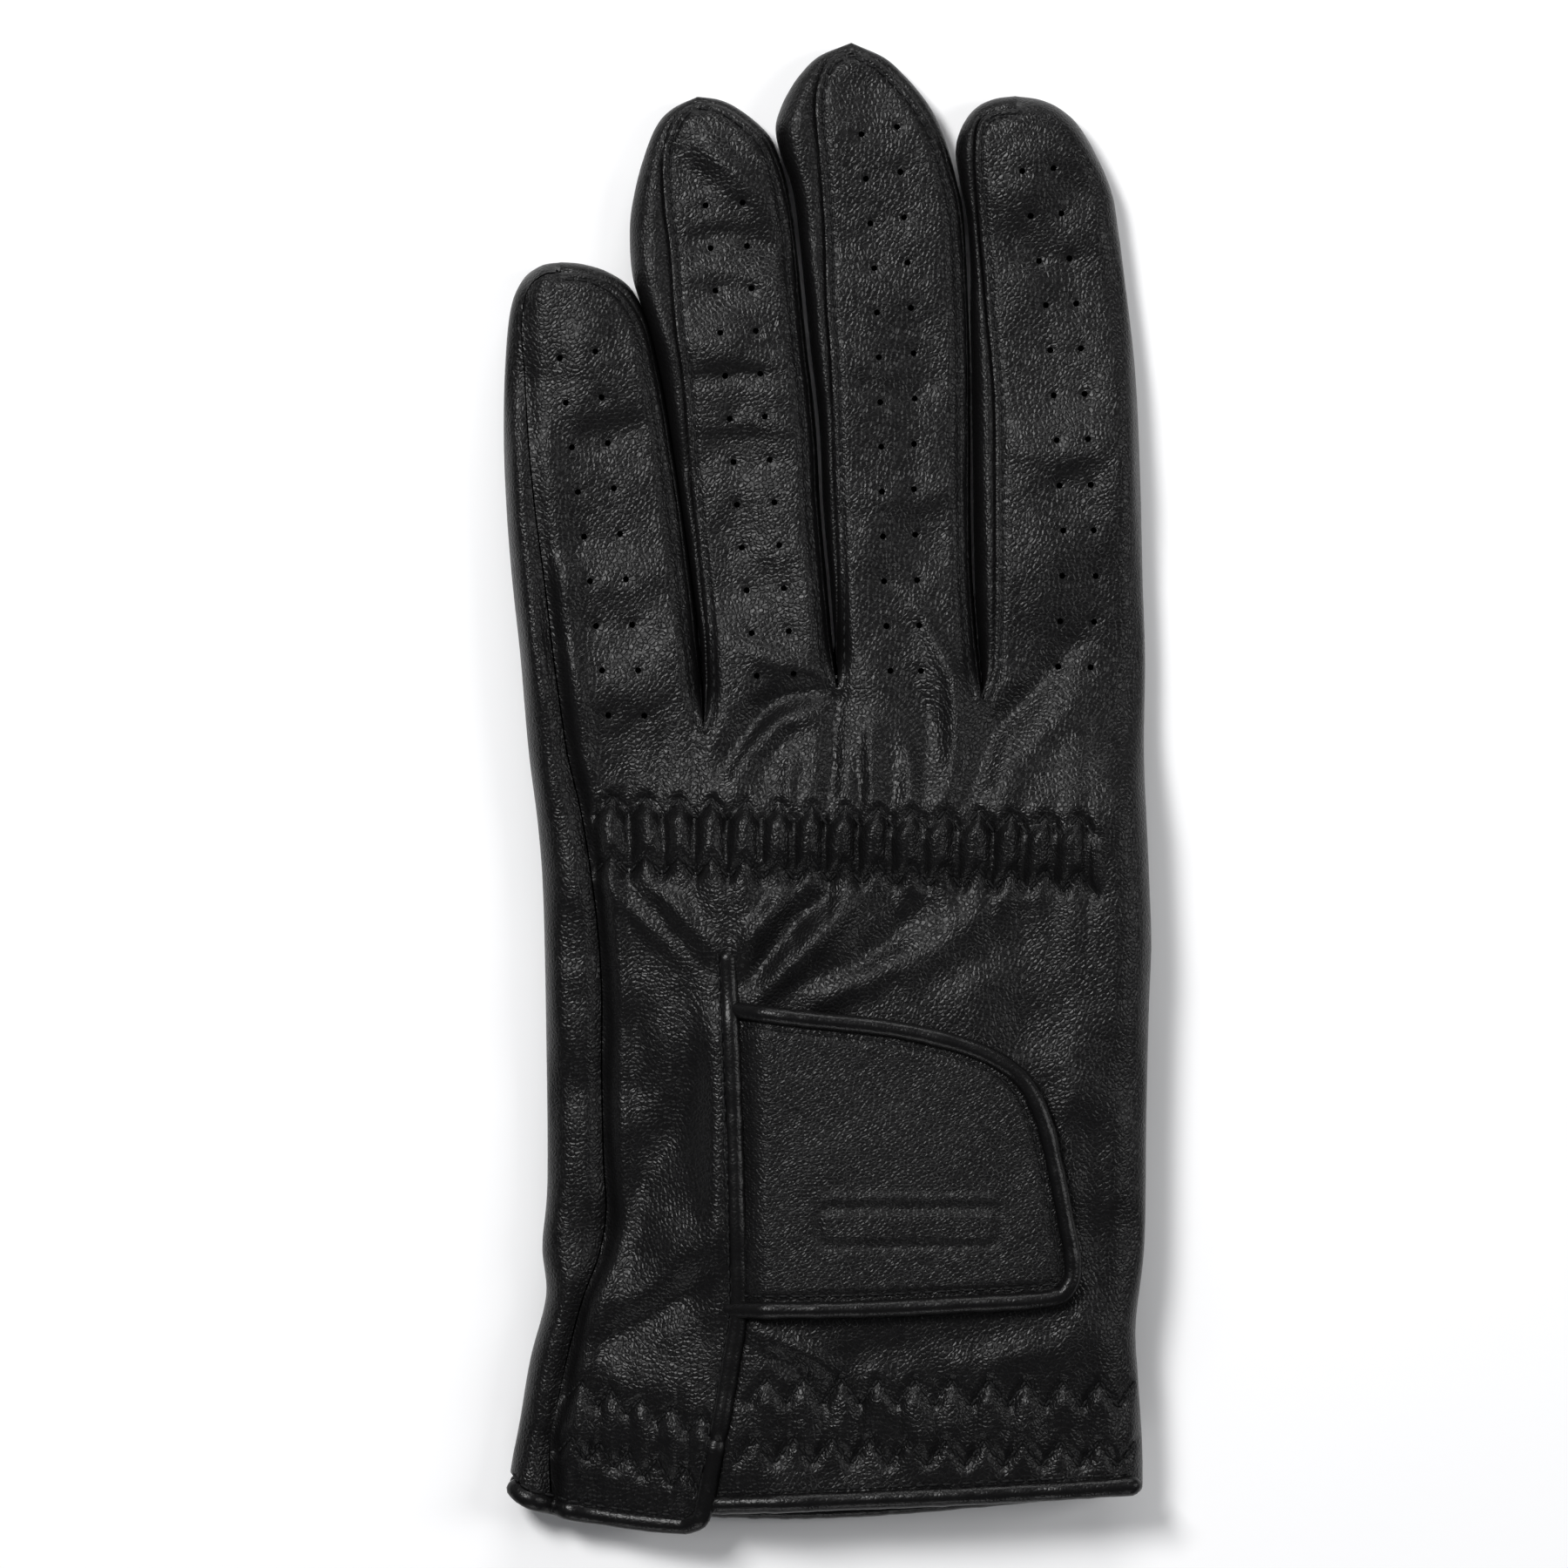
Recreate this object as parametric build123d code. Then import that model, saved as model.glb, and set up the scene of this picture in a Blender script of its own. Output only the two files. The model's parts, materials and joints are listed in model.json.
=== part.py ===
from build123d import *
import math
import os

# Left-hand leather golf glove lying on its palm, thumb folded under the palm.
# Millimetres. +X towards the index finger, +Y towards the fingertips, +Z up out of
# the back of the hand. The origin is the middle of the footprint, on the surface.

# ---------------------------------------------------------------- driving dimensions
LEATHER = 0.9  # wall thickness of the leather, lining and air of one layer
GAP = 0.6  # air between two neighbouring fingers
LENGTH = 240.0  # middle fingertip to the lowest corner of the cuff
LOW_Y = -LENGTH / 2
TOP_Y = LENGTH / 2

KNUCKLE_Y = 31.0  # the line across the fingers on which all four curl
CURL_Z = 6.0  # height of that line
FINGER_HIGH = 11.2  # height of a finger at the curl line
FINGER_FLAT = 10.0  # height of a finger half way along
FINGER_SHOULDER = 8.6  # height where the tip begins to round off
TIP_HIGH = 2.4  # height of the very tip
SEAM_LOW = 3.2  # the side strips of a finger run between these two heights
SEAM_HIGH = 8.6
STRIP_END = 9.0  # a side strip stops this far short of the fingertip
STUB_END = KNUCKLE_Y - FINGER_HIGH / 2 - 0.7  # where the hand ends and a curled finger still clears
CROTCH_Y = 12.0  # front of the hand between the fingers

# The hand is a flat tube. Its little-finger edge lies on the surface, and the rest
# is carried by the folded thumb, so a sloping part joins a low level to a high one.
SLOPE_LEFT = -38.0
SLOPE_RIGHT = -16.5
LOW_BOTTOM = 0.0
LOW_TOP = 9.6
HIGH_BOTTOM = 6.8
HIGH_TOP = 16.4
EDGE = 3.0  # the hand's long edges are broken by this much

CUFF_FLAP_Y = -117.2  # the leather of the flap, the back and the palm ends here
CUFF_BACK_Y = -113.9
CUFF_PALM_Y = -116.2
BINDING = 2.4  # width of the rolled edge along the cuff
BINDING_PROUD = 0.7  # it stands proud of the leather by this much
BINDING_DEEP = 1.6  # and reaches this far inside it
SLIT_TOP_Y = -27.0
SLIT_BINDING = 2.2

ELASTIC = 0.8
WRIST_ELASTIC_Y = (-109.5, -94.0)
KNUCKLE_ELASTIC_Y = (-15.0, -3.2)
KNUCKLE_ELASTIC_X = (-36.5, 42.5)

THREAD_WIDE = 0.8
THREAD_HIGH = 0.35
KNUCKLE_ZIGZAG_Y = (-4.8, -13.4)
KNUCKLE_PITCH = 5.2
WRIST_ZIGZAG_Y = (-96.5, -106.5)
WRIST_PITCH = 6.0
ZIGZAG_SWING = 1.6

TAB_ROOT_X = -12.4
TAB_AXIS_X = -13.0
TAB_TOP_LEFT_Y = -34.5
TAB_CORNER_TOP = (33.6, -42.0)
TAB_CORNER_LOW = (41.2, -83.2)
TAB_LOW_LEFT_Y = -84.6
TAB_RADIUS_TOP = 12.0
TAB_RADIUS_LOW = 6.5
PIPING = 1.1  # radius of the tab's rolled edge
TAB_Z = 18.2
TAB_THICK = 1.0
PAD_INSET = 5.5
LOOP_THICK = 0.95
HOOK_THICK = 0.75
TAB_STITCH_INSET = 3.2

THUMB_HIGH = 6.4
THUMB_ROOT_Y = -62.0
THUMB_TIP = (31.0, -1.5)
THUMB_SHOULDER_Y = -14.0
THUMB_SEAM_Z = 4.2
THUMB_HOLE_X = (22.0, 42.0)
THUMB_HOLE_Y = (-58.0, -34.0)
QUIRK_X = (47.4, 49.9)
QUIRK_Z = (5.5, HIGH_BOTTOM)
QUIRK_Y = (-58.0, -20.0)

LABEL_X = (-6.0, 12.0)
LABEL_Y = (-112.5, -100.5)
LABEL_THICK = 0.4

FAR = 200.0  # larger than the glove, for half spaces

# The two outer edges of the hand, as (y, x), from the cuff to the fingers.
LITTLE_EDGE = [(-121.0, -51.1), (-92.0, -47.6), (-60.0, -45.0), (-25.0, -45.4), (-4.0, -46.4), (CROTCH_Y, -48.4)]
INDEX_EDGE = [(-121.0, 50.7), (-92.0, 49.7), (-60.0, 51.2), (-25.0, 52.0), (-4.0, 51.2), (CROTCH_Y, 51.2)]
# Bottom and top of the high level of the hand, as (y, z).
HIGH_BOTTOM_AT = [(-121.0, 4.6), (-92.0, HIGH_BOTTOM), (-4.0, HIGH_BOTTOM), (CROTCH_Y, 1.0)]
HIGH_TOP_AT = [(-121.0, 15.2), (-92.0, HIGH_TOP), (-4.0, HIGH_TOP), (CROTCH_Y, 11.6)]
# The long seam that closes the glove, on the back near the little finger, as (y, x).
INSEAM = [(-121.0, -44.2), (-92.0, -41.8), (-60.0, -35.6), (-25.0, -36.6), (-4.0, -39.4), (CROTCH_Y, -42.4)]
# The free edge of the flap, as (y, x).
SLIT = [(-121.0, -19.9), (-100.0, -17.2), (-82.0, -14.6), (SLIT_TOP_Y, -15.5)]

# The lines between neighbouring fingers, as (y, x).
PINKY_RING = [(CROTCH_Y, -19.7), (KNUCKLE_Y, -20.4), (56.0, -24.2), (72.0, -28.5), (80.0, -31.4)]
RING_MIDDLE = [(CROTCH_Y, 1.9), (KNUCKLE_Y, 0.7), (56.0, -0.8), (72.0, -1.9), (97.0, -5.4)]
MIDDLE_INDEX = [(CROTCH_Y, 25.1), (KNUCKLE_Y, 25.1), (56.0, 24.4), (72.0, 23.7), (97.0, 21.6)]
PINKY_OUTER = [(CROTCH_Y, -48.4), (KNUCKLE_Y, -50.1), (56.0, -52.0), (72.0, -51.3)]
INDEX_OUTER = [(CROTCH_Y, 51.2), (KNUCKLE_Y, 51.0), (56.0, 50.3), (72.0, 49.1), (97.0, 45.5)]
RING_TOP_LEFT = [(97.0, -30.4)]
MIDDLE_TOP_LEFT = [(103.0, -6.2)]
MIDDLE_TOP_RIGHT = [(103.0, 19.4)]


# ---------------------------------------------------------------- small helpers
def between(points, y):
    """The value at y on straight runs through (y, value) points."""
    for (y0, v0), (y1, v1) in zip(points, points[1:]):
        if y <= y1:
            return v0 + (v1 - v0) * (y - y0) / (y1 - y0)
    return points[-1][1]


def block(xs, ys, zs):
    size = (xs[1] - xs[0], ys[1] - ys[0], zs[1] - zs[0])
    middle = ((xs[0] + xs[1]) / 2, (ys[0] + ys[1]) / 2, (zs[0] + zs[1]) / 2)
    return Pos(*middle) * Box(*size)


def prism(outline, low=-FAR, high=FAR):
    """A plan outline, (x, y) points, made solid between two heights."""
    face = make_face(Polyline(*outline, close=True))
    return Pos(0, 0, low) * extrude(face, high - low, dir=(0, 0, 1))


def polygon_loft(stations, outline):
    """A straight-sided loft through outline(y), a list of (x, z), at each station."""
    faces = []
    for y in stations:
        points = [(x, y, z) for x, z in outline(y)]
        faces.append(make_face(Polyline(*points, close=True)))
    return loft(faces, ruled=True)


def tube_loft(sections):
    """A straight-sided loft through rounded rectangles (y, left, right, low, high)."""
    faces = []
    for y, left, right, low, high in sections:
        wide = right - left
        tall = high - low
        radius = 0.46 * min(wide, tall)
        plane = Plane(origin=((left + right) / 2, y, (low + high) / 2), x_dir=(1, 0, 0), z_dir=(0, -1, 0))
        faces.append(plane * RectangleRounded(wide, tall, radius))
    return loft(faces, ruled=True)


def export(node, *shapes):
    solids = [s for shape in shapes for s in shape.solids()]
    whole = solids[0] if len(solids) == 1 else Compound(children=solids)
    export_step(whole, f"parts/{node}.step")


def strip_between(line, left, right, low_y, high_y):
    """Plan outline of the strip from line+left to line+right, between two ys."""
    inside = [y for y, _ in line if low_y < y < high_y]
    ys = [low_y, *inside, high_y]
    up = [(between(line, y) + right, y) for y in ys]
    down = [(between(line, y) + left, y) for y in reversed(ys)]
    return up + down


# ---------------------------------------------------------------- the hand
HAND_STATIONS = [y for y, _ in LITTLE_EDGE]


def hand_outline(y, grow):
    """Section of the hand across X at y, grown outwards by grow."""
    edge = EDGE + grow * (2 - math.sqrt(2))
    left = between(LITTLE_EDGE, y) - grow
    right = between(INDEX_EDGE, y) + grow
    low_bottom = LOW_BOTTOM - grow
    low_top = LOW_TOP + grow
    high_bottom = between(HIGH_BOTTOM_AT, y) - grow
    high_top = between(HIGH_TOP_AT, y) + grow
    return [
        (left, low_bottom + edge),
        (left + edge, low_bottom),
        (SLOPE_LEFT, low_bottom),
        (SLOPE_RIGHT, high_bottom),
        (right - edge, high_bottom),
        (right, high_bottom + edge),
        (right, high_top - edge),
        (right - edge, high_top),
        (SLOPE_RIGHT, high_top),
        (SLOPE_LEFT, low_top),
        (left + edge, low_top),
        (left, low_top - edge),
    ]


def hand_solid(grow, front=0.0):
    """The whole hand, grown by grow, with its front face moved back by front."""
    solid = polygon_loft(HAND_STATIONS, lambda y: hand_outline(y, grow))
    if front:
        solid = solid - block((-FAR, FAR), (CROTCH_Y - front, FAR), (-FAR, FAR))
    return solid


def upper_outline(y):
    """Everything above the hand's middle and on the index side of the inseam."""
    seam = between(INSEAM, y)
    low_mid = (LOW_BOTTOM + LOW_TOP) / 2
    high_mid = (between(HIGH_BOTTOM_AT, y) + between(HIGH_TOP_AT, y)) / 2
    slope = (seam - SLOPE_LEFT) / (SLOPE_RIGHT - SLOPE_LEFT)
    seam_mid = low_mid + max(slope, 0.0) * (high_mid - low_mid)
    return [(seam, seam_mid), (SLOPE_RIGHT, high_mid), (FAR, high_mid), (FAR, FAR), (seam, FAR)]


def stub_sections(left, right, wall):
    """The start of one finger, which belongs to the hand, with wall taken off all round."""
    back = CROTCH_Y - 3.5
    front = STUB_END + (5.0 if wall else 0.0)
    half = GAP / 2
    sections = []
    for y, low, high in ((back, 1.8, 10.4), (front, CURL_Z - FINGER_HIGH / 2, CURL_Z + FINGER_HIGH / 2)):
        inner_left = between(left, max(y, CROTCH_Y)) + half + wall
        inner_right = between(right, max(y, CROTCH_Y)) - half - wall
        sections.append((y, inner_left, inner_right, low + wall, high - wall))
    return sections


FINGER_SIDES = {
    "pinky": (PINKY_OUTER, PINKY_RING),
    "ring": (PINKY_RING + RING_TOP_LEFT, RING_MIDDLE),
    "middle": (RING_MIDDLE[:-1] + MIDDLE_TOP_LEFT, MIDDLE_INDEX[:-1] + MIDDLE_TOP_RIGHT),
    "index": (MIDDLE_INDEX, INDEX_OUTER),
}
FINGER_STATIONS = {
    "pinky": (KNUCKLE_Y, 56.0, 72.0),
    "ring": (KNUCKLE_Y, 56.0, 72.0, 80.0, 97.0),
    "middle": (KNUCKLE_Y, 56.0, 72.0, 103.0),
    "index": (KNUCKLE_Y, 56.0, 72.0, 97.0),
}
FINGER_TIP = {"pinky": (-43.0, 84.6), "ring": (-20.4, 111.4), "middle": (4.0, TOP_Y), "index": (30.5, 111.4)}
TIP_STEPS = (0.5, 0.8, 0.94, 1.0)  # shares of the rounded tip's length that get a section
TIP_END_SHARE = 0.16  # width left at the very tip, as a share of the finger


def build_hand():
    outer = hand_solid(0.0)
    inner = hand_solid(-LEATHER, front=LEATHER)
    inner = inner + block((-40.0, 40.0), (-125.0, -121.0), (9.0, 10.0))
    for left, right in FINGER_SIDES.values():
        outer = outer + tube_loft(stub_sections(left, right, 0.0))
    for left, right in FINGER_SIDES.values():
        inner = inner + tube_loft(stub_sections(left, right, LEATHER))
    shell = outer - inner
    shell = shell - block((-FAR, FAR), (-FAR, FAR), (-FAR, LOW_BOTTOM))

    upper = polygon_loft(HAND_STATIONS, upper_outline)
    stub_top = block((between(INSEAM, CROTCH_Y), FAR), (CROTCH_Y, FAR), (CURL_Z, FAR))
    upper = upper + stub_top

    parts = {}
    for name, line in (
        ("pinky_ring", PINKY_RING),
        ("ring_middle", RING_MIDDLE),
        ("middle_index", MIDDLE_INDEX),
    ):
        middle = between(line, CROTCH_Y)
        fork_space = block((middle - 3.4, middle + 3.4), (CROTCH_Y - LEATHER, STUB_END), (SEAM_LOW, SEAM_HIGH))
        parts[name + "_fourchette_fork"] = shell & fork_space
        shell = shell - fork_space

    back = shell & upper
    palm = shell - upper

    slit_strip = prism(strip_between(SLIT, -SLIT_BINDING / 2, SLIT_BINDING / 2, -121.0, SLIT_TOP_Y))
    flap_plan = [(-FAR, -121.0)]
    flap_plan += [(between(SLIT, y) - SLIT_BINDING / 2, y) for y, _ in SLIT]
    flap_plan += [(-FAR, SLIT_TOP_Y)]
    flap_space = prism(flap_plan)
    flap = back & flap_space & block((-FAR, FAR), (CUFF_FLAP_Y, FAR), (-FAR, FAR))
    back = back - flap_space - slit_strip
    back = back & block((-FAR, FAR), (CUFF_BACK_Y, FAR), (-FAR, FAR))
    palm = palm & block((-FAR, FAR), (CUFF_PALM_Y, FAR), (-FAR, FAR))
    palm = palm - block(THUMB_HOLE_X, THUMB_HOLE_Y, (0.0, HIGH_BOTTOM + 2 * LEATHER))
    parts["cuff_flap"] = flap
    parts["back_panel"] = back
    parts["palm_panel"] = palm

    roll = hand_solid(BINDING_PROUD) - hand_solid(-BINDING_DEEP)
    roll = roll - block((-FAR, FAR), (-FAR, FAR), (-FAR, LOW_BOTTOM))
    roll_back = roll & upper
    roll_palm = roll - upper
    flap_edge = roll_back & (slit_strip + flap_space) & block((-FAR, FAR), (LOW_Y, CUFF_FLAP_Y), (-FAR, FAR))
    slit_edge = roll_back & slit_strip & block((-FAR, FAR), (CUFF_FLAP_Y, FAR), (-FAR, FAR))
    parts["flap_binding"] = flap_edge + slit_edge
    beyond_slit = block((-FAR, FAR), (CUFF_BACK_Y - BINDING, CUFF_BACK_Y), (-FAR, FAR)) - flap_space - slit_strip
    parts["back_cuff_binding"] = roll_back & beyond_slit
    parts["palm_cuff_binding"] = roll_palm & block((-FAR, FAR), (CUFF_PALM_Y - BINDING, CUFF_PALM_Y), (-FAR, FAR))

    band = hand_solid(-LEATHER) - hand_solid(-LEATHER - ELASTIC)
    wrist_band = band & block((-FAR, FAR), WRIST_ELASTIC_Y, (-FAR, FAR))
    parts["flap_wrist_elastic"] = wrist_band & upper & flap_space
    parts["back_wrist_elastic"] = (wrist_band & upper) - flap_space - slit_strip
    parts["palm_wrist_elastic"] = wrist_band - upper
    knuckle_band = band & block(KNUCKLE_ELASTIC_X, KNUCKLE_ELASTIC_Y, (-FAR, FAR))
    parts["knuckle_elastic"] = knuckle_band & upper

    label = hand_solid(-LEATHER - ELASTIC) - hand_solid(-LEATHER - ELASTIC - LABEL_THICK)
    parts["size_label"] = (label & block(LABEL_X, LABEL_Y, (-FAR, FAR))) - upper
    parts["thumb_quirk"] = block(QUIRK_X, QUIRK_Y, QUIRK_Z)
    return parts, upper


def zigzag_plan(first_x, last_x, pitch, y_at):
    """Plan outline of one zigzag row of thread."""
    turns = int((last_x - first_x) / (pitch / 2))
    upper_side = []
    lower_side = []
    for turn in range(turns + 1):
        x = first_x + turn * pitch / 2
        swing = ZIGZAG_SWING if turn % 2 else -ZIGZAG_SWING
        y = y_at(x) + swing
        upper_side.append((x, y + THREAD_WIDE / 2))
        lower_side.append((x, y - THREAD_WIDE / 2))
    return upper_side + lower_side[::-1]


def build_zigzags(upper):
    """The rows of thread that hold the elastics, lying on the leather."""
    skin = (hand_solid(THREAD_HIGH) - hand_solid(0.0)) & upper
    parts = {}
    first, last = KNUCKLE_ELASTIC_X
    rows = [skin & prism(zigzag_plan(first, last, KNUCKLE_PITCH, lambda x, y=y: y)) for y in KNUCKLE_ZIGZAG_Y]
    parts["knuckle_zigzag_thread"] = rows
    first = between(SLIT, WRIST_ZIGZAG_Y[0]) + SLIT_BINDING
    last = between(INDEX_EDGE, WRIST_ZIGZAG_Y[0]) - EDGE - 1.0
    rows = [skin & prism(zigzag_plan(first, last, WRIST_PITCH, lambda x, y=y: y)) for y in WRIST_ZIGZAG_Y]
    parts["back_zigzag_thread"] = rows
    first = between(INSEAM, WRIST_ZIGZAG_Y[0]) + 2.0
    last = between(SLIT, WRIST_ZIGZAG_Y[1]) - SLIT_BINDING - 1.0
    rows = [skin & prism(zigzag_plan(first, last, WRIST_PITCH, lambda x, y=y: y)) for y in WRIST_ZIGZAG_Y]
    parts["flap_zigzag_thread"] = rows
    return parts


# ---------------------------------------------------------------- the fingers
def finger_sections(name, wall):
    """Sections of one finger from the curl line to its tip, with wall taken off all round."""
    left, right = FINGER_SIDES[name]
    stations = FINGER_STATIONS[name]
    tip_x, tip_y = FINGER_TIP[name]
    half = GAP / 2
    outer_left = 0.0 if name == "pinky" else half
    outer_right = 0.0 if name == "index" else half
    shoulder_y = stations[-1]
    sections = []
    for y in stations:
        along = (y - KNUCKLE_Y) / (shoulder_y - KNUCKLE_Y)
        if along <= 0.5:
            tall = FINGER_HIGH + (FINGER_FLAT - FINGER_HIGH) * along * 2
            low = (CURL_Z - FINGER_HIGH / 2) * (1 - along * 2)
        else:
            tall = FINGER_FLAT + (FINGER_SHOULDER - FINGER_FLAT) * (along * 2 - 1)
            low = 0.0
        edges = (between(left, y) + outer_left + wall, between(right, y) - outer_right - wall)
        sections.append((y, *edges, low + wall, low + tall - wall))
    _, edge_left, edge_right, _, _ = sections[-1]
    centre = (edge_left + edge_right) / 2
    for share in TIP_STEPS:
        end_y = tip_y - wall
        y = shoulder_y + (end_y - shoulder_y) * share
        round_off = max(math.sqrt(1 - share**2), TIP_END_SHARE)
        half_wide = (edge_right - edge_left) / 2 * round_off
        middle = centre + (tip_x - centre) * share
        tall_here = max(FINGER_SHOULDER * (0.45 + 0.55 * round_off), TIP_HIGH) - 2 * wall
        mid_z = FINGER_SHOULDER / 2
        tall_here = max(tall_here, TIP_HIGH * 0.5)
        sections.append((y, middle - half_wide, middle + half_wide, mid_z - tall_here / 2, mid_z + tall_here / 2))
    return sections


def build_finger(name):
    """Back leather, palm leather and the side strips of one finger."""
    outer = tube_loft(finger_sections(name, 0.0))
    sections = finger_sections(name, LEATHER)
    first = list(sections[0])
    first[0] -= 1.0
    inner = tube_loft([tuple(first)] + sections)
    shell = outer - inner
    shell = shell - block((-FAR, FAR), (-FAR, FAR), (-FAR, 0.0))
    tip_y = FINGER_TIP[name][1]
    _, left, right, _, _ = sections[0]
    middle = (left + right) / 2
    strip_end = tip_y - STRIP_END
    # The line that parts the left side from the right one leans with the finger.
    lean = (FINGER_TIP[name][0] - middle) / (tip_y - KNUCKLE_Y)
    reach = strip_end - KNUCKLE_Y
    lean_x = middle + lean * reach
    left_space = prism(
        [(-FAR, KNUCKLE_Y), (middle, KNUCKLE_Y), (lean_x, strip_end), (-FAR, strip_end)], SEAM_LOW, SEAM_HIGH - 1.0
    )
    right_space = prism(
        [(FAR, KNUCKLE_Y), (FAR, strip_end), (lean_x, strip_end), (middle, KNUCKLE_Y)], SEAM_LOW, SEAM_HIGH - 1.0
    )
    parts = {}
    upper = block((-FAR, FAR), (-FAR, FAR), (SEAM_HIGH - 1.0, FAR))
    if name != "pinky":
        parts[name + "_left_fourchette"] = shell & left_space
        shell = shell - left_space
    if name != "index":
        parts[name + "_right_fourchette"] = shell & right_space
        shell = shell - right_space
    else:
        upper = upper + right_space
    parts[name + "_back"] = shell & upper
    parts[name + "_palm"] = shell - upper
    return parts


# ---------------------------------------------------------------- the closing tab
def tab_face(inset):
    """Plan of the tab, brought in by inset on its three free sides."""
    corner_top = (TAB_CORNER_TOP[0] - inset, TAB_CORNER_TOP[1] - inset)
    corner_low = (TAB_CORNER_LOW[0] - inset, TAB_CORNER_LOW[1] + inset)
    outline = Polyline(
        (TAB_ROOT_X, TAB_TOP_LEFT_Y - inset),
        corner_top,
        corner_low,
        (TAB_ROOT_X, TAB_LOW_LEFT_Y + inset),
        close=True,
    )
    face = make_face(outline)
    corners = face.vertices().sort_by(Axis.X)[-2:].sort_by(Axis.Y)
    face = fillet(corners[1], max(TAB_RADIUS_TOP - inset, 2.0))
    low_corner = [v for v in face.vertices() if (Vector(v.X, v.Y, 0) - Vector(*corner_low, 0)).length < 0.01]
    return fillet(low_corner, max(TAB_RADIUS_LOW - inset, 2.0))


def tab_plate(inset, low, high):
    return Pos(0, 0, low) * extrude(tab_face(inset), high - low, dir=(0, 0, 1))


def build_tab():
    parts = {}
    edges = tab_face(PIPING).face().outer_wire().edges()
    free = [e for e in edges if max(v.X for v in e.vertices()) > TAB_ROOT_X + 0.01]
    route = Pos(0, 0, TAB_Z + TAB_THICK / 2 - 0.2) * Wire(free)
    start = route @ 0
    section = Plane(origin=start, z_dir=route % 0) * Circle(PIPING)
    piping = sweep(section, route)
    piping = piping & block((TAB_ROOT_X, FAR), (-FAR, FAR), (-FAR, FAR))
    leather = tab_plate(PIPING, TAB_Z, TAB_Z + TAB_THICK) - piping
    root_clear = block((TAB_ROOT_X + 3.0, FAR), (-FAR, FAR), (-FAR, FAR))
    stitch = tab_plate(TAB_STITCH_INSET, TAB_Z + TAB_THICK, TAB_Z + TAB_THICK + THREAD_HIGH)
    stitch = stitch - tab_plate(TAB_STITCH_INSET + THREAD_WIDE, TAB_Z, TAB_Z + TAB_THICK + 1.0)
    parts["tab_leather"] = leather
    parts["tab_piping"] = piping
    parts["tab_stitching"] = stitch & root_clear
    parts["tab_hook_pad"] = tab_plate(PAD_INSET, TAB_Z - HOOK_THICK, TAB_Z) & root_clear
    parts["loop_pad"] = tab_plate(PAD_INSET + 1.0, HIGH_TOP, HIGH_TOP + LOOP_THICK) & root_clear
    return parts


# ---------------------------------------------------------------- the thumb
def thumb_sections(wall):
    sections = [
        (THUMB_ROOT_Y + wall, 17.0 + wall, 46.0 - wall, 0.0 - 0.3 + wall, THUMB_HIGH - wall),
        (-32.0, 18.0 + wall, 46.0 - wall, -0.3 + wall, THUMB_HIGH - wall),
        (THUMB_SHOULDER_Y, 19.6 + wall, 44.6 - wall, -0.3 + wall, THUMB_HIGH - wall),
    ]
    _, left, right, low, high = sections[-1]
    tip_x, tip_y = THUMB_TIP
    centre = (left + right) / 2
    for share in TIP_STEPS:
        y = THUMB_SHOULDER_Y + (tip_y - wall - THUMB_SHOULDER_Y) * share
        round_off = max(math.sqrt(1 - share**2), TIP_END_SHARE)
        half_wide = (right - left) / 2 * round_off
        middle = centre + (tip_x - centre) * share
        tall = (high - low) * (0.55 + 0.45 * round_off)
        mid_z = (low + high) / 2
        sections.append((y, middle - half_wide, middle + half_wide, mid_z - tall / 2, mid_z + tall / 2))
    return sections


def build_thumb():
    shell = tube_loft(thumb_sections(0.0)) - tube_loft(thumb_sections(LEATHER))
    shell = shell - block((-FAR, FAR), (-FAR, FAR), (-FAR, 0.0))
    top = block((-FAR, FAR), (-FAR, FAR), (THUMB_SEAM_Z, FAR))
    mouth = block(THUMB_HOLE_X, THUMB_HOLE_Y, (THUMB_SEAM_Z, FAR))
    return {"thumb_inner": (shell & top) - mouth, "thumb_outer": shell - top}


# ---------------------------------------------------------------- write every node
def main():
    os.makedirs("parts", exist_ok=True)
    nodes, upper = build_hand()
    nodes.update(build_zigzags(upper))
    for name in FINGER_SIDES:
        nodes.update(build_finger(name))
    nodes.update(build_tab())
    nodes.update(build_thumb())
    for node, shape in nodes.items():
        shapes = shape if isinstance(shape, list) else [shape]
        export(node, *shapes)


main()
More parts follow.
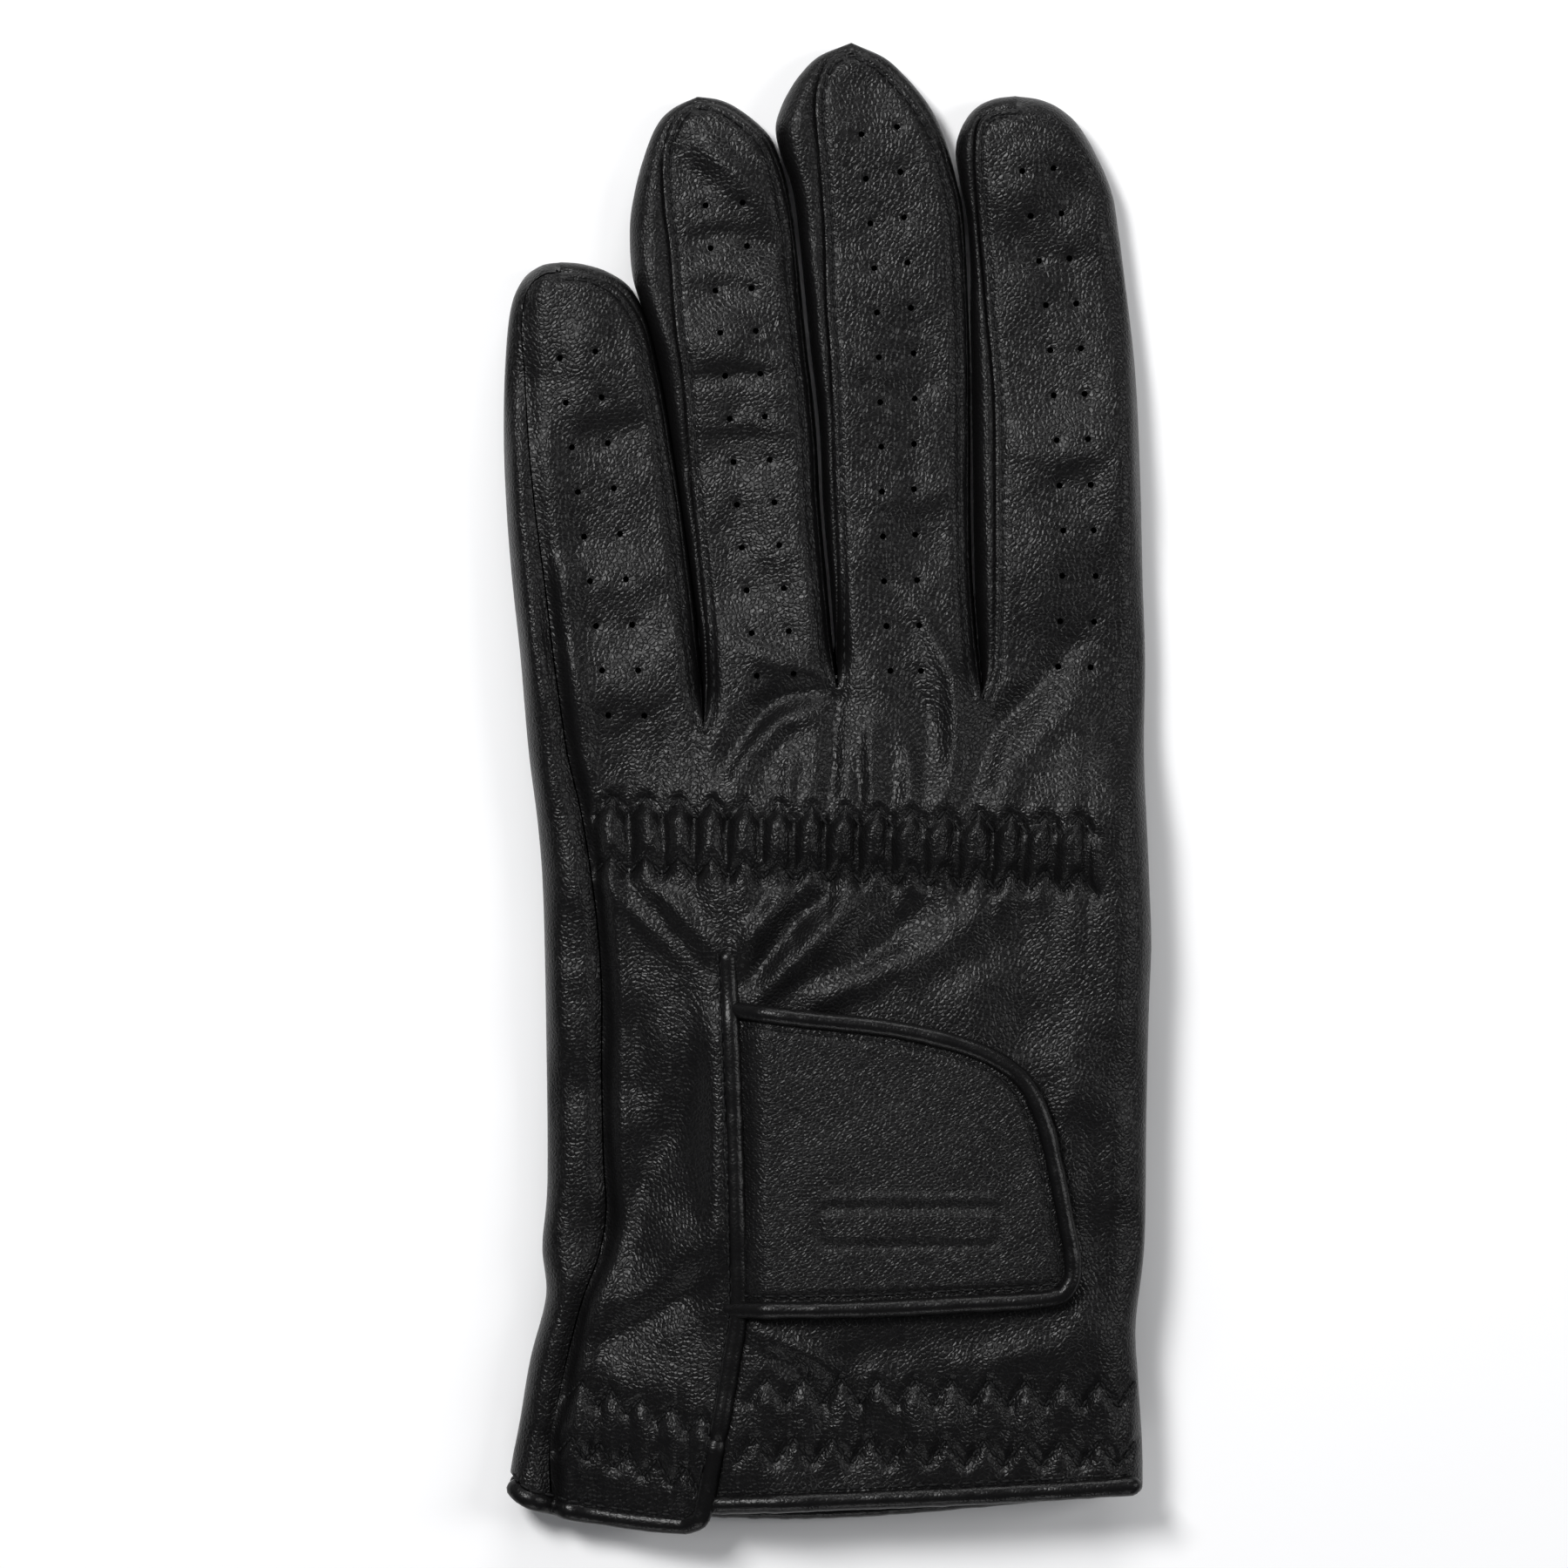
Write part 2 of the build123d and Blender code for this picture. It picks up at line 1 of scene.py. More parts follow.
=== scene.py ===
import bpy
import math
import numpy as np
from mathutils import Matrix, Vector
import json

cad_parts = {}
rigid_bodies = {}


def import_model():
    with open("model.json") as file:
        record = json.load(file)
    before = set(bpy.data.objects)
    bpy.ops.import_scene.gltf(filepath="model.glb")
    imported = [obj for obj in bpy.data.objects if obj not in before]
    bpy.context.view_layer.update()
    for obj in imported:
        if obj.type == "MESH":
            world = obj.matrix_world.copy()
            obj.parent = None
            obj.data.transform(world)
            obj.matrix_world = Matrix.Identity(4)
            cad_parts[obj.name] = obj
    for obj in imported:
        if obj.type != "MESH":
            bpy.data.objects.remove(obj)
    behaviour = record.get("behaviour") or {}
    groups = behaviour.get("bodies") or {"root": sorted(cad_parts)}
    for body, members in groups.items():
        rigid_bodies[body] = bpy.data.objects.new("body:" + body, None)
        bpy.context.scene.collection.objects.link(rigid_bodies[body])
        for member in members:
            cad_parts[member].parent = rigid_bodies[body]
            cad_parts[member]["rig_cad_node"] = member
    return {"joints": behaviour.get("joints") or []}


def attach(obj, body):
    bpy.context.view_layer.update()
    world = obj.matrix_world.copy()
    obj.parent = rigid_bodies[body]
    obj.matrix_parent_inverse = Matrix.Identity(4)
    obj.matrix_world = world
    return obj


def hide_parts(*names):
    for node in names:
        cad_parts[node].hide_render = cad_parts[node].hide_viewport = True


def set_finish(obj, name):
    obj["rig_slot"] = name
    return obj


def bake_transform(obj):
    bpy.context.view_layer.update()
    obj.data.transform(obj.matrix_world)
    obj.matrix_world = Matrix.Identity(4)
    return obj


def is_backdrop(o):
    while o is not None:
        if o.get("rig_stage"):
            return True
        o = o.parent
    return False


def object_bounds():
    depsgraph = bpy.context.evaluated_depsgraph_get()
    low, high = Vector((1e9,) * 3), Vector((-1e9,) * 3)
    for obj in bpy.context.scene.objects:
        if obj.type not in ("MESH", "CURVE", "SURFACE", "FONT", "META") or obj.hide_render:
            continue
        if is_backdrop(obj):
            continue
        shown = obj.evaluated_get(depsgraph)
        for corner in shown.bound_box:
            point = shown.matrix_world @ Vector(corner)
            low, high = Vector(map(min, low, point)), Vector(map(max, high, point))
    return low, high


# A left-hand leather golf glove lying palm down. Lengths are in millimetres, in the frame of the
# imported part, and become metres when a mesh is made. Textures and lights are set in metres.
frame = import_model()
cad_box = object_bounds()

MM = 0.001
LEATHER = 0.75  # thickness of one layer of leather
GRID = 0.64  # spacing of the leather's mesh
SPLIT_Y = 17.0  # above the crotches, where the finger leather becomes pieces of its own

JOINT_X = {joint["child"]: joint["pos_m"][0] for joint in frame["joints"]}
curl = [joint for joint in frame["joints"] if joint["name"] == "ring_curl"][0]
CURL_Y, CURL_Z = curl["pos_m"][1] / MM, curl["pos_m"][2] / MM
BEND = 11.5  # this length on each side of the curl line

# ------------------------------------------------------------------ plan of the glove
# Outer edges of the hand as (x, y), from the cuff to the fingers.
HAND_LEFT = [(-51.6, -118), (-50.9, -110), (-49.4, -102), (-47.7, -92), (-45.2, -82), (-45.8, -74),
             (-45.0, -64), (-45.1, -44), (-45.6, -19), (-46.4, -7), (-48.0, 6)]
HAND_RIGHT = [(50.7, -118), (50.6, -106), (49.9, -95), (49.5, -86), (50.9, -73), (51.2, -53),
              (51.6, -36), (52.0, -25), (51.6, -13), (51.0, 3)]
# The seam that closes the glove, on the back beside the little finger.
INSEAM = [(-44.0, -118), (-44.4, -107), (-43.2, -100), (-41.4, -91), (-39.0, -82), (-36.4, -75), (-35.3, -68),
          (-35.7, -60), (-36.0, -46), (-36.0, -32), (-37.0, -19), (-39.0, -5.5), (-41.2, 4), (-41.9, 8)]
# The free edge of the flap, down to its rounded corner.
SLIT = [(-20.4, -118), (-19.0, -110), (-17.0, -100), (-15.6, -91.5), (-14.4, -82.5), (-14.8, -64),
        (-15.4, -45), (-16.2, -26.3)]
SLIT_TOP = -26.3
# Cuff edges, as (x, y), from left to right.
FLAP_HEM = [(-51.6, -111.6), (-48.6, -115.2), (-42.0, -117.3), (-34.7, -118.5), (-26.0, -119.4),
            (-19.0, -119.6)]
BACK_HEM = [(-26.0, -116.9), (-16.6, -116.1), (10.0, -115.0), (35.0, -113.8), (51.3, -112.8)]
PALM_HEM = [(-51.5, -113.0), (-40.0, -116.0), (-18.0, -117.6), (0.0, -117.8), (20.0, -116.4), (51.3, -113.4)]
OVERLAP = 6.5  # the flap lies over this much of the back

# For each finger: the silhouette and the edge of its back leather, each up the left side
# to the tip and down the right side, and the heights of its two crotches.
FINGERS = {
    "pinky": {
        "sil_left": [(-48.2, 8), (-49.3, 21), (-50.6, 33), (-51.5, 44), (-52.0, 56), (-51.8, 67.5),
                     (-50.9, 77), (-48.9, 81.8), (-46.0, 84.0), (-42.8, 84.6)],
        "sil_right": [(-19.8, 8), (-20.0, 17), (-21.4, 31), (-23.2, 44.6), (-24.8, 55), (-26.6, 66),
                      (-28.6, 74.5), (-31.4, 80.2), (-35.2, 83.0), (-39.4, 84.3), (-42.8, 84.6)],
        "top_left": [(-41.9, 8), (-43.7, 21), (-45.1, 32.6), (-46.6, 44), (-47.7, 55), (-48.4, 66),
                     (-48.9, 74), (-48.0, 79.6), (-45.6, 82.0), (-42.8, 82.6)],
        "top_right": [(-19.8, 8), (-20.5, 17), (-22.3, 31), (-24.1, 44.6), (-25.7, 55), (-27.5, 66),
                      (-29.5, 74.0), (-32.4, 79.0), (-36.0, 81.6), (-39.6, 82.5), (-42.8, 82.6)],
        "crotch": (-99.0, 9.4), "seams": (False, True), "holes": 9,
        "hole_lines": ([(-42.8, 68.8), (-35.0, 11.5)], [(-37.1, 69.8), (-29.2, 11.4)]),
    },
    "ring": {
        "sil_left": [(-19.8, 8), (-19.8, 14), (-20.2, 21.4), (-21.2, 30), (-22.9, 42), (-24.5, 53),
                     (-26.3, 64), (-28.6, 74), (-31.2, 82), (-31.7, 90), (-31.0, 95.5), (-29.6, 101),
                     (-27.5, 106.4), (-24.9, 109.3), (-20.8, 111.3)],
        "sil_right": [(2.2, 8), (1.9, 15.4), (1.1, 21.4), (0.1, 32.6), (-1.0, 45), (-1.8, 59), (-3.3, 72),
                      (-4.8, 87), (-6.1, 96), (-8.3, 103.4), (-10.7, 106.6), (-14.3, 109.4), (-17.3, 110.8),
                      (-20.8, 111.3)],
        "top_left": [(-19.8, 8), (-19.2, 14), (-19.3, 21.4), (-19.7, 29), (-20.8, 40), (-21.9, 51),
                     (-22.7, 64), (-24.1, 74), (-25.0, 86), (-25.9, 93), (-26.2, 101), (-24.9, 106.4),
                     (-22.9, 109.2), (-20.4, 110.3)],
        "top_right": [(2.2, 8), (1.5, 15.4), (0.5, 21.4), (-0.7, 32.6), (-1.8, 45), (-2.6, 59), (-4.1, 72),
                      (-5.6, 87), (-6.9, 96), (-9.2, 102.8), (-11.6, 105.8), (-14.8, 108.4), (-17.4, 109.7),
                      (-20.4, 110.3)],
        "crotch": (9.4, 15.8), "seams": (True, True), "holes": 12,
        "hole_lines": ([(-19.4, 93.4), (-15.5, 58.9), (-14.4, 45.3), (-11.2, 17.8)],
                       [(-13.5, 93.8), (-9.9, 59.4), (-5.3, 18.1)]),
    },
    "middle": {
        "sil_left": [(2.2, 8), (2.0, 15.4), (1.5, 21.4), (0.6, 32.6), (-0.5, 45), (-1.2, 59), (-2.7, 72),
                     (-4.2, 87), (-5.4, 96), (-7.6, 102.6), (-8.2, 106.4), (-7.4, 109.4), (-6.1, 112.1),
                     (-4.2, 114.9), (-1.2, 117.8), (4.0, 120.0)],
        "sil_right": [(25.4, 8), (25.2, 13), (24.6, 19), (24.0, 27), (23.4, 36), (23.2, 51), (23.1, 69),
                      (22.7, 81), (22.1, 92), (20.9, 98), (19.6, 103), (18.3, 106.5), (16.9, 109.3),
                      (14.9, 112.1), (12.4, 114.9), (9.3, 117.6), (4.0, 120.0)],
        "top_left": [(2.2, 8), (1.9, 15.4), (1.7, 21.4), (1.7, 32.6), (1.4, 44), (1.1, 59), (0.7, 69),
                     (0.1, 77.5), (-0.2, 89), (-1.0, 100.6), (-1.7, 108.6), (-1.2, 113.4), (0.6, 117.2),
                     (4.0, 118.8)],
        "top_right": [(25.4, 8), (24.8, 13), (23.9, 19), (23.2, 27), (22.6, 36), (22.4, 51), (22.4, 69),
                      (22.0, 81), (21.2, 92), (19.9, 98), (18.5, 102.6), (17.2, 105.8), (15.6, 108.6),
                      (13.7, 111.3), (11.3, 113.9), (8.5, 116.5), (4.0, 118.8)],
        "crotch": (15.8, 14.3), "seams": (True, True), "holes": 13,
        "hole_lines": ([(5.6, 104.8), (7.7, 82.5), (8.6, 61.4), (9.2, 32.6), (10.2, 18.6)],
                       [(11.3, 106.0), (14.0, 69.1), (14.0, 47.5), (15.1, 18.6)]),
    },
    "index": {
        "sil_left": [(25.4, 8), (25.3, 14.5), (24.7, 21.4), (23.9, 32.6), (23.5, 59), (23.4, 68),
                     (23.2, 75), (23.2, 84), (22.6, 92), (21.4, 98), (20.8, 102.6), (21.8, 106.4),
                     (24.0, 109.4), (27.0, 110.9), (30.5, 111.4)],
        "sil_right": [(51.0, 8), (51.3, 20), (50.9, 34), (50.5, 51), (49.7, 67.5), (47.8, 84), (47.0, 90),
                      (46.1, 95.5), (43.9, 101), (40.8, 106.4), (37.7, 109.3), (34.4, 110.8),
                      (30.5, 111.4)],
        "top_left": [(25.4, 8), (25.2, 14.3), (26.2, 17.5), (26.7, 21.8), (27.1, 32.6), (27.1, 59),
                     (26.6, 68), (25.9, 75), (25.1, 84), (24.4, 92), (23.9, 100), (24.3, 106.2),
                     (26.6, 108.4), (30.5, 108.9)],
        "top_right": [(46.4, 8), (46.8, 20), (46.5, 34), (46.1, 51), (45.3, 67.5), (43.4, 84), (42.6, 90),
                      (41.7, 95.0), (39.9, 100.2), (37.6, 104.4), (34.8, 107.4), (30.5, 108.9)],
        "crotch": (14.3, -99.0), "seams": (True, False), "holes": 12,
        "hole_lines": ([(31.4, 98.8), (35.3, 76.5), (37.4, 47.1), (37.9, 39.8), (37.1, 19.3)],
                       [(36.4, 99.3), (40.2, 76.5), (42.4, 47.2), (43.1, 32.6), (42.3, 19.2)]),
    },
}


# ------------------------------------------------------------------ lines and curves
def spline(points, per=10):
    """A smooth line through points, with per points on each stretch."""
    p = np.array(points, float)
    wide = np.vstack([2 * p[0] - p[1], p, 2 * p[-1] - p[-2]])
    t = np.linspace(0, 1, per, endpoint=False)[:, None]
    runs = []
    for i in range(1, len(wide) - 2):
        a, b, c, d = wide[i - 1:i + 3]
        runs.append(0.5 * (2 * b + (c - a) * t + (2 * a - 5 * b + 4 * c - d) * t**2
                           + (3 * b - a - 3 * c + d) * t**3))
    return np.vstack(runs + [p[-1:]])


def lengths(line):
    steps = np.linalg.norm(np.diff(line, axis=0), axis=1)
    return np.concatenate([[0.0], np.cumsum(steps)])


def resample(line, count):
    """count points evenly spaced along a line."""
    s = lengths(line)
    at = np.linspace(0, s[-1], count)
    return np.stack([np.interp(at, s, line[:, k]) for k in range(line.shape[1])], axis=1)


def y_of(points):
    """The line through (x, y) points as a function that gives y at x."""
    line = spline(points)
    order = np.argsort(line[:, 0])
    return lambda x: np.interp(x, line[order, 0], line[order, 1])


def x_of(points):
    """The same, as a function that gives x at y."""
    return y_of([(y, x) for x, y in points])


def smooth(t):
    t = np.clip(t, 0, 1)
    return t * t * (3 - 2 * t)


def distance(x, y, line):
    """Distance from each point to a polyline, and how far along it the nearest point is, 0 to 1."""
    shape = np.shape(x)
    p = np.stack([np.ravel(x), np.ravel(y)], axis=1)
    a, b = line[:-1], line[1:]
    d = b - a
    size = np.maximum((d**2).sum(1), 1e-9)
    s = lengths(line)
    best = np.full(len(p), 1e9)
    where = np.zeros(len(p))
    for i in range(len(a)):
        t = np.clip(((p - a[i]) @ d[i]) / size[i], 0, 1)
        gap = np.linalg.norm(p - (a[i] + t[:, None] * d[i]), axis=1)
        nearer = gap < best
        best[nearer] = gap[nearer]
        where[nearer] = (s[i] + t[nearer] * (s[i + 1] - s[i])) / s[-1]
    return best.reshape(shape), where.reshape(shape)


inseam_x = x_of(INSEAM + FINGERS["pinky"]["top_left"][1:6])
slit_x = x_of(SLIT)
left_x = x_of(HAND_LEFT + FINGERS["pinky"]["sil_left"][1:5])
right_x = x_of(HAND_RIGHT + FINGERS["index"]["sil_right"][1:5])
# The cuff edges, moved up by half the width of the roll that goes round each.
flap_edge_y = y_of([(x, y + 1.3) for x, y in FLAP_HEM])
back_edge_y = y_of([(x, y + 1.4) for x, y in BACK_HEM])
palm_edge_y = y_of([(x, y + 1.3) for x, y in PALM_HEM])


# ------------------------------------------------------------------ noise
def noise2(x, y, size, seed):
    """Smooth noise, about -1 to 1, with bumps of that size."""
    rng = np.random.default_rng(seed)
    table = rng.uniform(-1, 1, (64, 64))
    u, v = np.asarray(x) / size + 500, np.asarray(y) / size + 500
    i, j = np.floor(u).astype(int), np.floor(v).astype(int)
    fu, fv = smooth(u - i), smooth(v - j)

    def at(di, dj):
        return table[(i + di) % 64, (j + dj) % 64]

    low = at(0, 0) * (1 - fu) + at(1, 0) * fu
    high = at(0, 1) * (1 - fu) + at(1, 1) * fu
    return low * (1 - fv) + high * fv


# ------------------------------------------------------------------ folds in the leather
# Each fold: its line, half width and height. Negative heights are valleys.
FOLDS = [
    # base of the ring finger
    ([(-14.0, 22.5), (-8.0, 20.5), (-1.5, 17.5)], 2.2, 0.9),
    ([(-15.5, 3.0), (-12.5, 9.0), (-8.5, 13.5), (-3.0, 15.2), (1.0, 14.6)], 2.2, -1.5),
    ([(-16.5, -2.5), (-13.0, 4.5), (-8.0, 10.0), (-2.0, 12.2)], 2.0, 1.1),
    # base of the middle finger
    ([(14.5, 28.5), (18.0, 22.0), (20.3, 16.0), (20.5, 6.0), (19.4, -2.5)], 1.7, 1.2),
    ([(12.0, 20.0), (15.5, 12.0), (17.0, 3.0)], 2.4, -0.8),
    # base of the index finger
    ([(39.5, 23.0), (32.0, 14.5), (26.0, 8.0), (22.8, -2.0)], 2.2, -1.3),
    ([(43.0, 16.0), (35.0, 9.0), (29.0, 2.0), (27.0, -3.0)], 2.6, 0.8),
    # up from the knuckle rows
    ([(-6.2, -3.0), (-5.6, 5.5)], 1.2, 0.8),
    ([(1.0, -3.0), (1.2, 8.0), (2.0, 14.0)], 1.3, -1.0),
    ([(7.2, -3.0), (7.0, 10.0)], 1.2, 0.9),
    ([(13.6, -3.5), (13.2, 5.0)], 1.2, 0.6),
    # fan from the knuckle rows to the top of the slit
    ([(5.7, -16.3), (-2.0, -25.0), (-11.0, -33.5)], 2.1, 1.5),
    ([(1.0, -16.0), (-6.0, -22.5), (-12.5, -31.5)], 1.6, -1.3),
    ([(-4.5, -15.5), (-9.0, -20.0), (-13.5, -26.0)], 1.5, 1.1),
    ([(15.5, -26.0), (4.0, -31.0), (-6.0, -34.0)], 2.6, 0.9),
    ([(17.0, -17.0), (8.0, -26.0), (-4.0, -32.5)], 2.4, -1.1),
    ([(35.0, -15.0), (24.0, -20.0), (14.0, -29.0)], 2.6, 0.6),
    ([(30.0, -24.0), (16.0, -33.0)], 3.0, -0.5),
    # the flap
    ([(-36.0, -14.5), (-29.0, -20.5), (-19.5, -28.8)], 1.9, 1.2),
    ([(-29.0, -14.5), (-24.0, -19.5), (-18.0, -26.0)], 1.6, 1.0),
    ([(-33.0, -16.0), (-26.0, -22.5), (-19.0, -29.5)], 1.3, -0.9),
    ([(-18.8, -33.0), (-17.8, -56.0), (-17.6, -83.0)], 2.5, 1.3),
    ([(-35.8, -74.0), (-29.0, -63.0), (-21.5, -48.0), (-20.0, -36.0)], 4.5, -1.2),
    ([(-34.0, -84.0), (-26.0, -78.0), (-18.5, -71.0)], 3.6, 1.0),
    ([(-38.0, -90.0), (-28.0, -84.5), (-17.0, -78.0)], 2.4, -0.8),
    # under the tab
    ([(-11.0, -86.5), (-4.0, -90.0), (2.0, -94.5)], 2.2, 1.2),
    ([(-9.0, -90.0), (-2.0, -94.0)], 1.5, -0.9),
    ([(12.0, -87.0), (22.0, -91.5), (34.0, -90.0)], 3.0, 0.5),
    # right of the tab
    ([(45.0, -86.0), (42.5, -70.0), (43.0, -55.0)], 2.6, -0.6),
    # ring fingertip
    ([(-21.0, 105.0), (-14.0, 97.5), (-9.6, 92.5)], 2.2, 0.8),
    ([(-24.0, 101.0), (-18.0, 95.0)], 2.0, -0.5),
    ([(-22.5, 87.5), (-14.5, 88.5), (-7.5, 86.0)], 1.6, -0.5),
    ([(-23.0, 82.0), (-14.5, 82.6), (-6.5, 80.5)], 1.7, 0.4),
    ([(-22.0, 65.5), (-14.0, 66.2), (-5.0, 65.0)], 1.6, -0.45),
    ([(-21.5, 58.0), (-12.0, 58.5), (-4.0, 57.0)], 1.8, 0.35),
    # middle and index fingers
    ([(2.0, 66.0), (11.0, 63.5), (20.0, 66.0)], 2.2, -0.4),
    ([(3.0, 48.0), (12.0, 46.0), (21.0, 49.0)], 2.4, 0.3),
    ([(29.0, 88.0), (37.0, 84.0), (44.0, 86.0)], 2.4, -0.35),
    ([(28.0, 55.0), (37.0, 52.5), (46.0, 56.0)], 2.8, 0.3),
    ([(-47.0, 58.0), (-38.0, 56.0), (-27.0, 59.0)], 2.4, -0.3),
    ([(-44.0, 35.0), (-35.0, 33.0), (-24.0, 36.0)], 2.6, 0.3),
]
FOLD_LINES = [(spline(points, 6), wide, high) for points, wide, high in FOLDS]

# The two zigzag rows over the knuckle elastic.
KNUCKLE_X = (-37.0, 42.8)
KNUCKLE_PITCH = 5.25
KNUCKLE_SWING = 1.7
# The two zigzag rows over the wrist elastic, on the back and on the flap.
WRIST_PITCH = 6.0
WRIST_SWING = 2.1
FLAP_SHARE = 0.8  # of the back's pitch and swing


def zigzag(first, last, pitch, swing, y, lean, level_x):
    """Corners of a zigzag row, as (x, y): the row is at y where x is level_x, and leans down to the right."""
    count = int(round((last - first) / (pitch / 2)))
    corners = []
    for i in range(count + 1):
        x = first + (last - first) * i / count
        corners.append((x, y - lean * (x - level_x) + (swing if i % 2 else -swing)))
    return np.array(corners)


KNUCKLE_ZIGZAGS = [zigzag(*KNUCKLE_X, KNUCKLE_PITCH, KNUCKLE_SWING, y, 0.043, 2.0) for y in (-4.6, -13.6)]
BACK_ZIGZAGS = [zigzag(first, 49.5, WRIST_PITCH, WRIST_SWING, y, 0.012, 18.0)
                for first, y in ((-12.5, -96.6), (-14.5, -106.2))]
FLAP_ZIGZAGS = [zigzag(first, last, WRIST_PITCH * FLAP_SHARE, WRIST_SWING * FLAP_SHARE, y, 0.26, -46.0)
                for first, last, y in ((-41.8, -17.6, -95.2), (-43.2, -20.4, -104.4))]


def gather(x, y, zigzags, pitch, puff, groove):
    """Puffs between two zigzag rows of an elastic, and the groove that each row pulls in."""
    first, last = zigzags[0][0, 0], zigzags[0][-1, 0]
    y_top, y_low = (np.polyval(np.polyfit(row[:, 0], row[:, 1], 1), x) for row in zigzags)
    along = (y - y_low) / (y_top - y_low)
    inside = smooth((along + 0.12) / 0.3) * smooth((1.12 - along) / 0.3)
    ends = smooth((x - first + 1.5) / 3) * smooth((last + 1.5 - x) / 3)
    wander = noise2(x, y, 9.0, 5) * 0.5
    ridge = np.abs(np.sin(np.pi * (x - first + wander) / pitch))
    lift = puff * (ridge**0.75 - 0.35) * inside
    # beyond the rows the puffs fade out as soft flutes
    above_rows = np.exp(-np.maximum(along - 1, 0) * 1.5) * (along > 1)
    below_rows = np.exp(-np.maximum(-along, 0) * 1.3) * (along < 0)
    lift += 0.5 * puff * (ridge - 0.6) * (above_rows + below_rows) * (0.75 + 0.5 * noise2(x, y, 11.0, 6))
    total = lift * ends
    for row in zigzags:
        near = np.abs(y - np.interp(x, row[:, 0], row[:, 1])) < 4
        if near.any():
            d, _ = distance(x, y, row)
            total = total - groove * np.exp(-(d / 0.75)**2)
    return total


# Where the loop patch is sewn on, and the leather is flatter.
PATCH_X = (-13.0, 40.0)
PATCH_Y = (-91.0, -42.0)
PATCH_FADE = 6.0


def relief(x, y, part):
    """How far the leather stands above its smooth shape, for the back and the fingers."""
    out = 0.9 * noise2(x, y, 17.0, 1) + 0.5 * noise2(x, y, 8.0, 2) + 0.09 * noise2(x, y, 3.4, 3)
    for line, wide, high in FOLD_LINES:
        lo, hi = line.min(0) - 3 * wide, line.max(0) + 3 * wide
        box = (x > lo[0]) & (x < hi[0]) & (y > lo[1]) & (y < hi[1])
        if not box.any():
            continue
        d, t = distance(x[box], y[box], line)
        taper = np.sin(np.pi * np.clip(0.06 + 0.88 * t, 0, 1)) ** 0.6
        out[box] += high * taper * np.exp(-(d / wide)**2)
    near = (y > -34) & (y < 14)
    if near.any():
        out[near] += gather(x[near], y[near], KNUCKLE_ZIGZAGS, KNUCKLE_PITCH, 2.1, 0.9)
    near = y < -86
    if near.any():
        rows, share = (FLAP_ZIGZAGS, FLAP_SHARE) if part == "flap" else (BACK_ZIGZAGS, 1)
        out[near] += gather(x[near], y[near], rows, WRIST_PITCH * share, 0.8, 0.75)
    patch = smooth((x - PATCH_X[0]) / PATCH_FADE) * smooth((PATCH_X[1] - x) / PATCH_FADE)
    patch = patch * smooth((y - PATCH_Y[0]) / PATCH_FADE) * smooth((PATCH_Y[1] - y) / PATCH_FADE)
    return out * (1 - 0.75 * patch)


# ------------------------------------------------------------------ heights
def top_level(x, y):
    """Height of the back's smooth top, away from its edges."""
    across = smooth((x + 44.0) / 34.0)
    high = np.interp(y, [-118, -96, -60, -4, 14], [14.6, 16.0, 16.3, 15.8, 12.6])
    low = np.interp(y, [-118, -60, 0, 14], [9.6, 9.8, 10.6, 11.0])
    hand = low + (high - low) * across
    finger = np.interp(y, [14, 31, 60, 90, 120], [11.6, 11.2, 10.2, 9.4, 8.8])
    share = smooth((y + 6) / 30.0)
    return hand * (1 - share) + finger * share


def bottom_level(x, y):
    across = smooth((x + 38.0) / 26.0)
    high = np.interp(y, [-118, -94, -60, -4, 10], [4.8, 6.9, 7.0, 7.0, 2.6])
    hand = 0.25 + (high - 0.25) * across
    share = smooth((y - 2) / 16.0)
    return hand * (1 - share) + 0.35 * share


def middle_level(x, y):
    return 0.5 * (top_level(x, y) + bottom_level(x, y)) - 0.4


def rounding(d, reach):
    """0 on the silhouette to 1 a distance of reach inside it, as a quarter ellipse."""
    t = 1 - np.clip(d / reach, 0, 1)
    return np.sqrt(np.maximum(1 - t * t, 0))


SIL = {name: (spline(f["sil_left"]), spline(f["sil_right"])) for name, f in FINGERS.items()}


def outer_line(x_at, finger_line):
    """One side of the whole glove: the hand's edge up to the split and the finger's above it."""
    y = np.arange(-122.0, SPLIT_Y, 0.5)
    return np.vstack([np.column_stack([x_at(y), y]), finger_line[finger_line[:, 1] > SPLIT_Y]])


LEFT_LINE = outer_line(left_x, SIL["pinky"][0])
RIGHT_LINE = outer_line(right_x, SIL["index"][1])
SIDES = ("left", "right")
SEAMS = {}
for finger, f in FINGERS.items():
    for side, seam, crotch in zip(SIDES, f["seams"], f["crotch"]):
        if seam:
            line = spline(f["top_" + side])
            SEAMS[finger, side] = line[line[:, 1] > crotch - 0.5]
ROUND = 3.9  # how far in from a finger's silhouette its top is rounded
ROUND_HAND = 6.5  # the same on the index side of the hand
STITCH_INSET = 1.15  # how far inside a seam its stitches are


def fullness(name, x, y):
    """0 on a finger's silhouette and 1 well inside it, or inside its column of the hand."""
    q = np.ones_like(x)
    for side, line, crotch in zip(SIDES, SIL[name], FINGERS[name]["crotch"]):
        if (name, side) == ("pinky", "left"):
            q = q * rounding(distance(x, y, LEFT_LINE)[0], ROUND)
        elif (name, side) == ("index", "right"):
            reach = ROUND + (ROUND_HAND - ROUND) * (1 - smooth(y / 30.0))
            q = q * rounding(distance(x, y, RIGHT_LINE)[0], reach)
        else:
            fade = smooth((y - crotch + 0.5) / 8.0)
            q = q * (1 - fade * (1 - rounding(distance(x, y, line)[0], ROUND)))
    return q


